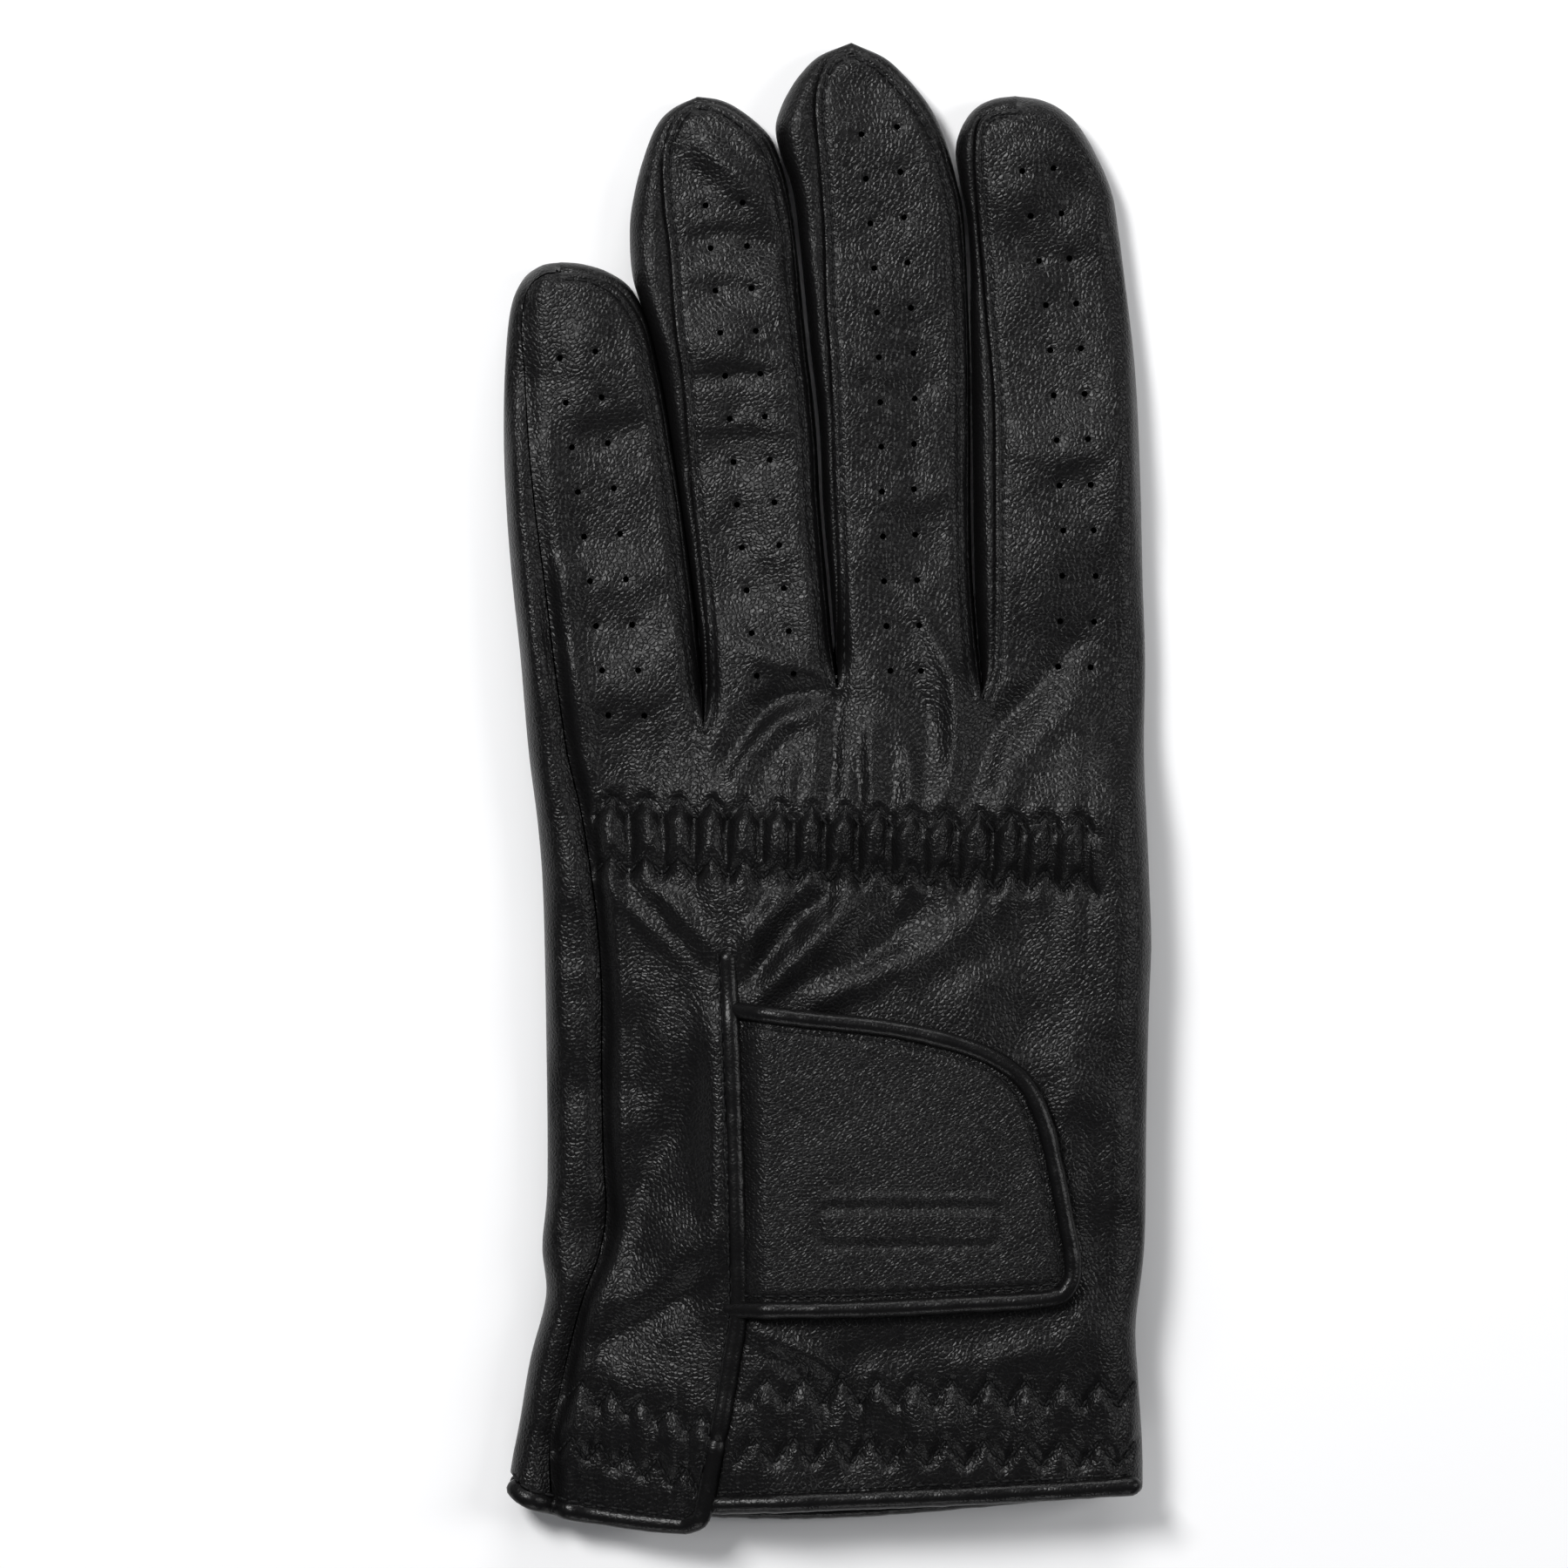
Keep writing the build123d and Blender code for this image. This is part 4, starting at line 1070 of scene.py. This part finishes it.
def rolled_edge(name, path, half_wide, half_high):
    """A flattened roll of leather along a path in space, lying flat, with closed rounded ends."""
    path = resample(np.asarray(path, float), max(int(lengths(path)[-1] / 0.7), 4))
    along = np.gradient(path, axis=0)
    along /= np.linalg.norm(along, axis=1)[:, None]
    side = np.cross(along, np.array([0, 0, 1.0]))
    side /= np.maximum(np.linalg.norm(side, axis=1), 1e-6)[:, None]
    up = np.cross(side, along)
    rows = len(path)
    ends = np.minimum(np.arange(rows), np.arange(rows)[::-1]) / 2.0
    taper = np.sqrt(np.clip(1 - (1 - np.clip(ends, 0.08, 1))**2, 0.02, 1))
    rough = 1 + ROLL_WOBBLE * noise2(path[:, 0] * 3, path[:, 1] * 3, 5.0, 31)
    points = []
    for r in range(rows):
        for k in range(ROLL_AROUND):
            turn = 2 * math.pi * k / ROLL_AROUND
            out = side[r] * math.cos(turn) * half_wide + up[r] * math.sin(turn) * half_high
            points.append(path[r] + taper[r] * rough[r] * out)
    return make_mesh(name, points, tube_faces(0, rows, ROLL_AROUND))


HEM_DOWN = 0.55  # how far a cuff roll's middle is below the leather's face


def hem_path(name, hem, first_x, last_x, layer):
    """The line of a cuff edge over the back leather, from first_x to last_x."""
    x = np.linspace(first_x, last_x, int(abs(last_x - first_x) / 0.5))
    points = surface(name, np.column_stack([x, hem(x)]), layer)
    points[:, 2] -= HEM_DOWN
    return points


slit_ys = np.linspace(SLIT_TOP + 0.2, -115.6, 140)
slit_plan = np.column_stack([slit_x(slit_ys) + 0.3, slit_ys])
slit_run = surface("pinky", slit_plan, "flap")
slit_run[:, 2] -= 0.25
flap_run = hem_path("pinky", flap_edge_y, -22.5, -50.6, "flap")
corner = np.array([slit_run[-1], [-20.4, -117.2, slit_run[-1, 2] - 0.1], flap_run[0]])
flap_roll = np.vstack([slit_run, spline(corner, 6)[1:-1], flap_run])
settle(rolled_edge("flap_edge_roll", flap_roll, 1.5, 0.95), "binding", "flap_binding")

back_run = hem_path("ring", back_edge_y, -26.0, 50.2, "leather")
settle(rolled_edge("back_cuff_roll", back_run, 1.6, 1.4), "binding", "back_cuff_binding")

# the palm's roll turns up at both ends and stops inside the other two
palm_x = np.linspace(-49.5, 49.5, 200)
palm_y = palm_edge_y(palm_x)
palm_run = np.vstack([flap_run[-1] + [1.0, 0.1, -1.8], [-49.9, -112.0, 4.0],
                      np.column_stack([palm_x, palm_y, under_hand(palm_x, palm_y) + 0.6]),
                      [49.5, -112.4, 8.0], back_run[-1] + [-0.9, 0.1, -2.0]])
settle(rolled_edge("palm_cuff_roll", spline(palm_run, 2), 1.3, 1.15), "binding", "palm_cuff_binding")

# stitches beside the rolled edges
slit_line = np.column_stack([slit_x(slit_ys) - 1.25, slit_ys])
flap_line = flap_run[:, :2] + [0, 1.7]
pairs = [("pinky", stitches_along(line, STITCH, PITCH)) for line in (slit_line, flap_line[4:])]
settle(laid_stitches("flap_edge_thread", pairs, "flap"), "thread")
back_line = back_run[12:, :2] + [0, 2.0]
pairs = [("ring", stitches_along(back_line[back_line[:, 0] < 20], STITCH, PITCH)),
         ("index", stitches_along(back_line[back_line[:, 0] > 20.5], STITCH, PITCH))]
settle(laid_stitches("back_cuff_edge_thread", pairs), "thread")


# ------------------------------------------------------------------ the closing tab
TAB_OUTLINE = [(-17.0, -34.2), (-13.5, -34.5), (-2.7, -35.8), (10.0, -37.2), (20.1, -39.4), (27.3, -42.2),
               (32.4, -46.2), (35.6, -52.7), (37.4, -59.9), (39.2, -69.0), (40.3, -75.4), (39.6, -79.8),
               (35.8, -82.5), (20.9, -83.5), (6.4, -84.2), (-12.6, -84.5), (-17.0, -84.6)]
TAB_TOP = 18.7
TAB_THICK = 1.0
TAB_ROOT_Z = 15.0
TAB_ROLL = 1.2
TAB_STITCH = 3.4
tab_line = spline(TAB_OUTLINE)
tab_roll_line = offset(tab_line, TAB_ROLL)
tab_stitch_line = offset(tab_line, TAB_STITCH)


def tab_z(x, y, inset=None):
    """Height of the tab's upper face."""
    z = TAB_ROOT_Z + (TAB_TOP - TAB_ROOT_Z) * smooth((x + 16.5) / 7.5)
    z = z + 0.34 * noise2(x, y, 15.0, 41) + 0.12 * noise2(x, y, 6.0, 42)
    z = z - 0.5 * smooth((x - 34.0) / 9.0)
    if inset is not None:
        z = z - 0.42 * np.exp(-((inset - TAB_STITCH) / 0.5)**2) - 0.5 * np.exp(-((inset - 2.2) / 0.5)**2)
    return z


def plate(name, line, top, thick, spacing, corner_a, corner_b):
    """A plate whose four sides are a straight left one and three runs of its outline, cut at two corners."""
    cut = [int(np.argmin(np.linalg.norm(line - np.array(c), axis=1))) for c in (corner_a, corner_b)]
    upper, right, lower = line[:cut[0] + 1], line[cut[0]:cut[1] + 1], line[cut[1]:][::-1]
    columns = int(lengths(upper)[-1] / spacing)
    rows = int(lengths(right)[-1] / spacing)
    upper, lower = resample(upper, columns), resample(lower, columns)
    right = resample(right, rows)[::-1]
    left = resample(np.array([lower[0], upper[0]]), rows)
    u = np.linspace(0, 1, columns)[None, :, None]
    v = np.linspace(0, 1, rows)[:, None, None]
    plan = ((1 - v) * lower[None] + v * upper[None] + (1 - u) * left[:, None] + u * right[:, None]
            - (1 - u) * (1 - v) * lower[0] - u * (1 - v) * lower[-1]
            - (1 - u) * v * upper[0] - u * v * upper[-1])
    return sheet_piece(name, np.dstack([plan, top(plan[..., 0], plan[..., 1])]), thick)


# a plain raised bar and a thin line above it, in place of any mark
EMBLEM = (13.0, -70.0)
EMBLEM_HALF = (14.0, 2.6)
EMBLEM_LINE_Y = -65.4


def box_edge(x, y, centre, half, radius):
    """Signed distance from the outline of a rounded rectangle, negative inside."""
    dx = np.abs(x - centre[0]) - half[0] + radius
    dy = np.abs(y - centre[1]) - half[1] + radius
    outside = np.hypot(np.maximum(dx, 0), np.maximum(dy, 0))
    return outside + np.minimum(np.maximum(dx, dy), 0) - radius


def tab_face(x, y):
    inset, _ = distance(x, y, tab_line)
    z = tab_z(x, y, inset)
    bar = box_edge(x, y, EMBLEM, EMBLEM_HALF, 1.2)
    z = z - 0.4 * np.exp(-((bar - 0.35) / 0.45)**2) + 0.25 * smooth(-bar / 0.6)
    line = box_edge(x, y, (EMBLEM[0], EMBLEM_LINE_Y), (EMBLEM_HALF[0], 0.5), 0.5)
    return z + 0.3 * smooth(0.5 - line / 0.5)


tab_plate_line = offset(tab_line, 1.0)
tab_leather = plate("tab_panel", tab_plate_line, tab_face, TAB_THICK, 0.5, (31.0, -45.6), (38.3, -80.6))
# a line just beside the tab's root
TAB_ROOT = dict(body="tab", start=metres(-16.5, -59.5, 17.0), end=metres(-9.5, -59.5, 17.0))
settle(tab_leather, "tab_leather", "tab_leather", **TAB_ROOT)
run = np.column_stack([tab_roll_line, tab_z(tab_roll_line[:, 0], tab_roll_line[:, 1]) + 0.05])
settle(rolled_edge("tab_edge_roll", run, 1.4, 1.2), "binding", "tab_piping", **TAB_ROOT)
pairs = stitches_along(tab_stitch_line[6:-6], STITCH, PITCH)
starts, ends = (np.column_stack([p, tab_face(p[:, 0], p[:, 1]) + 0.12]) for p in (pairs[:, 0], pairs[:, 1]))
settle(thread_piece("tab_thread", starts, ends), "thread", "tab_stitching", **TAB_ROOT)

PAD_ROOT_X = -8.5


def pad_line(inset):
    line = offset(tab_line, inset)
    gap, _ = distance(line[:, 0], line[:, 1], tab_line)
    line = line[(line[:, 0] > PAD_ROOT_X) & (gap > inset - 0.08)]
    return np.vstack([[PAD_ROOT_X, line[0, 1]], line, [PAD_ROOT_X, line[-1, 1]]])


def hook_face(x, y):
    return tab_z(x, y) - TAB_THICK


def loop_face(x, y):
    return 17.0 + 0.06 * noise2(x, y, 2.0, 51)


hook = plate("hook_pad", pad_line(5.5), hook_face, 0.7, 1.0, (27.5, -49.0), (34.0, -77.5))
settle(hook, "hook", "tab_hook_pad", "tab")
loop = plate("loop_patch", pad_line(6.5), loop_face, 1.0, 0.8, (27.0, -50.0), (33.0, -76.5))
settle(loop, "loop", "loop_pad")


# ------------------------------------------------------------------ elastics and the label, inside
def band(name, node, across_x, along_y, thick, level, slot="elastic"):
    """A flat piece on the inside of the hand; level gives the height of its outer face."""
    x, y = np.meshgrid(np.arange(*across_x, 0.8), np.arange(*along_y, 0.8))
    settle(sheet_piece(name, np.dstack([x, y, level(x, y)]), thick), slot, node)


def over_hand(x, y):
    """Height of the back leather of the hand at any point, whichever column it is in."""
    z = top_z("ring", x, y)
    far = x > 24
    z[far] = top_z("index", x[far], y[far])
    near = x < PINKY_RING_LINE(np.maximum(y, SLIT_TOP))
    if (y > SLIT_TOP).all():
        z[near] = top_z("pinky", x[near], y[near])
    return z


RIB = 1.6
CUFF_BAND_Y = (-109.0, -94.0)


def ribs(y):
    return 0.12 * np.cos(2 * np.pi * y / RIB)


band("knuckle_band", "knuckle_elastic", (-36.0, 42.0), (-15.0, -3.0), 0.6,
     lambda x, y: over_hand(x, y) - LEATHER - 0.1)
band("back_cuff_band", "back_wrist_elastic", (-23.0, 46.0), CUFF_BAND_Y, 0.6,
     lambda x, y: over_hand(x, y) - LEATHER - 0.1 + ribs(y))
band("flap_cuff_band", "flap_wrist_elastic", (-42.0, -19.5), CUFF_BAND_Y, 0.45,
     lambda x, y: top_z("pinky", x, y, "flap") - LEATHER - 0.05 + ribs(y))
band("palm_cuff_band", "palm_wrist_elastic", (-44.0, 46.0), CUFF_BAND_Y, 0.6,
     lambda x, y: under_hand(x, y) + LEATHER + 0.8 + ribs(y))
band("label", "size_label", (-6.0, 12.0), (-112.6, -100.4), 0.3,
     lambda x, y: under_hand(x, y) + LEATHER + 1.35 + 0.15 * smooth(x / 12), "label")

# ------------------------------------------------------------------ the folded thumb
THUMB_LEFT = x_of([(17.2, -62), (17.4, -50), (18.2, -32), (19.8, -14), (22.0, -7.5), (26.0, -3.0),
                   (31.0, -1.7)])
THUMB_RIGHT = x_of([(45.8, -62), (46.0, -50), (45.8, -32), (44.4, -14), (41.6, -7.5), (36.5, -3.0),
                    (31.0, -1.7)])
THUMB_BEND_Y = -14.0  # the tip rounds off above this
THUMB_ROWS = np.concatenate([np.linspace(-61.8, THUMB_BEND_Y, 56),
                             THUMB_BEND_Y + 12.2 * np.sin(np.linspace(0.06, np.pi / 2, 16))])
THUMB_SEAM = 3.4  # height of the seam between its two leathers
THUMB_TOP = 6.35
THUMB_COLUMNS = 44
thumb = Skin()
left, right = THUMB_LEFT(THUMB_ROWS), THUMB_RIGHT(THUMB_ROWS)
near_end = np.minimum(np.clip((THUMB_ROWS + 62.2) / 3.5, 0, 1), np.clip((-1.6 - THUMB_ROWS) / 7.0, 0, 1))
tall = np.sqrt(1 - (1 - near_end)**2) * 0.9 + 0.1
thumb_y = np.repeat(THUMB_ROWS[:, None], THUMB_COLUMNS, axis=1)
for name, sign, reach in (("thumb_inner_leather", 1, THUMB_TOP - THUMB_SEAM),
                          ("thumb_outer_leather", -1, THUMB_SEAM - 0.05)):
    turn = np.linspace(0, np.pi, THUMB_COLUMNS) if sign > 0 else np.linspace(np.pi, 0, THUMB_COLUMNS)
    c, h = np.cos(turn), np.sin(turn)
    x = (left + right)[:, None] / 2 - (right - left)[:, None] / 2 * (np.sign(c) * np.abs(c)**0.62)[None, :]
    wave = 0.12 * noise2(x, thumb_y, 7.0, 61) * h[None, :]
    z = THUMB_SEAM + sign * (tall[:, None] * reach * (h**0.72)[None, :] - 0.15 - np.abs(wave))
    grid = np.dstack([x, thumb_y, z])
    thumb.add(grid, name, ~in_thumb_hole(grid) if sign > 0 else None)
thumb.weld()
for node in ("thumb_inner", "thumb_outer"):
    settle(leather_piece(thumb, node + "_leather", 0.7), "leather", node, "thumb")

# the gusset bulges out from the palm's edge, down to the thumb's
GUSSET_ROWS, GUSSET_COLUMNS = 40, 9
steps = np.linspace(0, 1, GUSSET_COLUMNS)
gusset_y = np.repeat(np.linspace(-57.5, -20.5, GUSSET_ROWS)[:, None], GUSSET_COLUMNS, axis=1)
bulge = np.sin(np.pi * np.linspace(0.06, 0.94, GUSSET_ROWS))[:, None]
gusset_x = 46.9 + 1.5 * np.sin(np.pi * steps)[None, :] * bulge
gusset_z = 7.9 - 4.2 * steps[None, :] + 0 * gusset_x
gusset = sheet_piece("thumb_gusset", np.dstack([gusset_x, gusset_y, gusset_z]), 0.6)
settle(gusset, "side_leather", "thumb_quirk", body="thumb",
       start=metres(47.0, -40.0, 7.4), end=metres(47.0, -40.0, 4.0))


# ------------------------------------------------------------------ finishes
class Finish:
    """A material and a short way to add and join its nodes."""

    def __init__(self, name, colour, rough, specular=0.5):
        self.material = bpy.data.materials.new(name)
        self.material.use_nodes = True
        self.tree = self.material.node_tree
        self.shader = self.tree.nodes["Principled BSDF"]
        self.shader.inputs["Base Color"].default_value = (*colour, 1)
        self.shader.inputs["Roughness"].default_value = rough
        self.shader.inputs["Specular IOR Level"].default_value = specular
        self.place = self.add("ShaderNodeTexCoord").outputs["Object"]

    def add(self, kind, **values):
        node = self.tree.nodes.new(kind)
        for key, value in values.items():
            setattr(node, key, value)
        return node

    def join(self, a, b):
        self.tree.links.new(a, b)

    def texture(self, kind, scale, vector=None, **values):
        node = self.add(kind, **values)
        node.inputs["Scale"].default_value = scale
        self.join(vector or self.place, node.inputs["Vector"])
        return node

    def spread(self, fac, end, low, high):
        """fac From low to high made 0 to 1, or from 0 to 1 made low To high."""
        node = self.add("ShaderNodeMapRange")
        node.inputs[end + " Min"].default_value = low
        node.inputs[end + " Max"].default_value = high
        self.join(fac, node.inputs["Value"])
        return node.outputs["Result"]

    def colours(self, fac, low, high):
        node = self.add("ShaderNodeValToRGB")
        node.color_ramp.elements[0].color = (*low, 1)
        node.color_ramp.elements[1].color = (*high, 1)
        self.join(fac, node.inputs["Fac"])
        self.join(node.outputs["Color"], self.shader.inputs["Base Color"])

    def bump(self, height, strength, deep, before=None):
        node = self.add("ShaderNodeBump")
        node.inputs["Strength"].default_value = strength
        node.inputs["Distance"].default_value = deep
        self.join(height, node.inputs["Height"])
        if before is not None:
            self.join(before, node.inputs["Normal"])
        return node.outputs["Normal"]

    def wear(self, normal):
        self.join(normal, self.shader.inputs["Normal"])


def leather_finish(name, cell, strength, rough, low, high, stretch=(1, 1, 1)):
    """Pebbled leather: cells with soft edges, finer pores, and creases that come and go."""
    m = Finish(name, low, rough, 0.2)
    mapping = m.add("ShaderNodeMapping")
    mapping.inputs["Scale"].default_value = stretch
    m.join(m.place, mapping.inputs["Vector"])
    drift = m.texture("ShaderNodeTexNoise", 260.0, mapping.outputs["Vector"])
    mix = m.add("ShaderNodeMixRGB")
    mix.inputs["Fac"].default_value = 0.0007
    m.join(mapping.outputs["Vector"], mix.inputs["Color1"])
    m.join(drift.outputs["Color"], mix.inputs["Color2"])
    cells = m.texture("ShaderNodeTexVoronoi", 1 / cell, mix.outputs["Color"], feature="DISTANCE_TO_EDGE")
    pebble = m.spread(cells.outputs["Distance"], "From", 0.0, 0.28)
    pores = m.texture("ShaderNodeTexNoise", 3200.0)
    creases = m.texture("ShaderNodeTexNoise", 420.0)
    soft = m.texture("ShaderNodeTexNoise", 45.0)
    normal = m.bump(creases.outputs["Fac"], 0.35, 0.00015)
    normal = m.bump(pebble, strength, 0.00006, normal)
    normal = m.bump(pores.outputs["Fac"], 0.25, 0.00001, normal)
    m.wear(normal)
    m.colours(soft.outputs["Fac"], low, high)
    sheen = m.spread(creases.outputs["Fac"], "To", rough - 0.07, rough + 0.09)
    m.join(sheen, m.shader.inputs["Roughness"])
    return m.material


BLACK = (0.0024, 0.0023, 0.0025)
BLACK_LIGHT = (0.0044, 0.0042, 0.0043)
finishes = {
    "leather": leather_finish("black_leather", 0.0007, 0.8, 0.33, BLACK, BLACK_LIGHT),
    "side_leather": leather_finish("side_leather", 0.0007, 0.8, 0.36, BLACK, BLACK_LIGHT),
    "tab_leather": leather_finish("tab_leather", 0.0007, 1.0, 0.36, BLACK, BLACK_LIGHT, (1.0, 1.35, 1.0)),
    "binding": leather_finish("rolled_leather", 0.0008, 0.35, 0.3, BLACK, BLACK_LIGHT),
}

thread = Finish("black_thread", (0.003, 0.003, 0.0033), 0.6, 0.2)
twist = thread.texture("ShaderNodeTexWave", 700.0, bands_direction="DIAGONAL")
thread.wear(thread.bump(twist.outputs["Fac"], 0.6, 0.0001))
finishes["thread"] = thread.material

elastic = Finish("ribbed_elastic", (0.02, 0.02, 0.021), 0.75)
weave = elastic.texture("ShaderNodeTexWave", 260.0, bands_direction="X")
fuzz = elastic.texture("ShaderNodeTexNoise", 1800.0)
elastic.wear(elastic.bump(fuzz.outputs["Fac"], 0.5, 0.0001, elastic.bump(weave.outputs["Fac"], 0.6, 0.0002)))
elastic.colours(weave.outputs["Fac"], (0.012, 0.012, 0.013), (0.03, 0.03, 0.032))
finishes["elastic"] = elastic.material

pile = Finish("loop_pile", (0.015, 0.015, 0.015), 0.95, 0.2)
curls = pile.texture("ShaderNodeTexVoronoi", 1500.0)
pile.wear(pile.bump(curls.outputs["Distance"], 0.9, 0.0004))
pile.colours(curls.outputs["Distance"], (0.006, 0.006, 0.006), (0.03, 0.03, 0.03))
finishes["loop"] = pile.material

hooks = Finish("hook_rows", (0.012, 0.012, 0.012), 0.5)
rows_of_hooks = hooks.texture("ShaderNodeTexVoronoi", 900.0)
hooks.wear(hooks.bump(rows_of_hooks.outputs["Distance"], 0.9, 0.0004))
finishes["hook"] = hooks.material

satin = Finish("label_satin", (0.5, 0.5, 0.5), 0.5)
threads = satin.texture("ShaderNodeTexWave", 1400.0, bands_direction="Y")
satin.wear(satin.bump(threads.outputs["Fac"], 0.3, 0.00005))
satin.colours(threads.outputs["Fac"], (0.42, 0.42, 0.42), (0.58, 0.58, 0.58))
finishes["label"] = satin.material

for obj in list(bpy.context.scene.objects):
    if obj.type == "MESH" and "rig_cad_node" not in obj:
        obj.data.materials.append(finishes[obj["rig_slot"]])

# ------------------------------------------------------------------ floor, camera and light
bpy.ops.mesh.primitive_plane_add(size=6.0)
floor = bpy.context.object
floor.name = "floor"
paper = Finish("white_paper", (0.9, 0.9, 0.905), 0.9, 0.1)
fibre = paper.texture("ShaderNodeTexNoise", 300.0)
paper.wear(paper.bump(fibre.outputs["Fac"], 0.1, 0.0002))
floor.data.materials.append(paper.material)
floor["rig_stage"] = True

LENS = 150.0
SENSOR = 36.0
VIEW_WIDE = 251.2  # what the picture's width takes in, at the height of the back of the hand
VIEW_CENTRE = (-6.84, 0.49)
BACK_HEIGHT = 11.0
camera_data = bpy.data.cameras.new("camera")
camera_data.lens = LENS
camera_data.sensor_width = SENSOR
camera = bpy.data.objects.new("camera", camera_data)
camera.location = (VIEW_CENTRE[0] * MM, VIEW_CENTRE[1] * MM, (VIEW_WIDE * LENS / SENSOR + BACK_HEIGHT) * MM)
bpy.context.scene.collection.objects.link(camera)
bpy.context.scene.camera = camera
camera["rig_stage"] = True

world = bpy.data.worlds.new("studio")
bpy.context.scene.world = world
world.use_nodes = True
world.node_tree.nodes["Background"].inputs["Color"].default_value = (0.9, 0.93, 1.0, 1)
world.node_tree.nodes["Background"].inputs["Strength"].default_value = 0.1


def softbox(name, x, y, z, wide, high, watts, colour=(1, 1, 1)):
    """An area light aimed at the glove."""
    data = bpy.data.lights.new(name, "AREA")
    data.shape = "RECTANGLE"
    data.size, data.size_y, data.energy, data.color = wide, high, watts, colour
    light = bpy.data.objects.new(name, data)
    light.location = (x, y, z)
    light.rotation_euler = (-Vector((x, y, z))).to_track_quat("-Z", "Y").to_euler()
    bpy.context.scene.collection.objects.link(light)
    light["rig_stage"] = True


softbox("key_left", -0.4, 0.42, 0.95, 0.25, 0.35, 10.5)
softbox("fill_right", 0.85, 0.1, 0.75, 0.3, 0.6, 4.0)
softbox("top_back", 0.15, 1.1, 0.6, 0.6, 0.3, 5.0)
softbox("front", -0.2, -1.15, 0.55, 0.8, 0.3, 3.0)
bpy.context.scene.view_settings.view_transform = "Standard"

for words, (low, high) in (("CAD", cad_box), ("visual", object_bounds())):
    words + " " + " ".join(f"{v:.4f}" for v in (*low, *high)) + "\n"
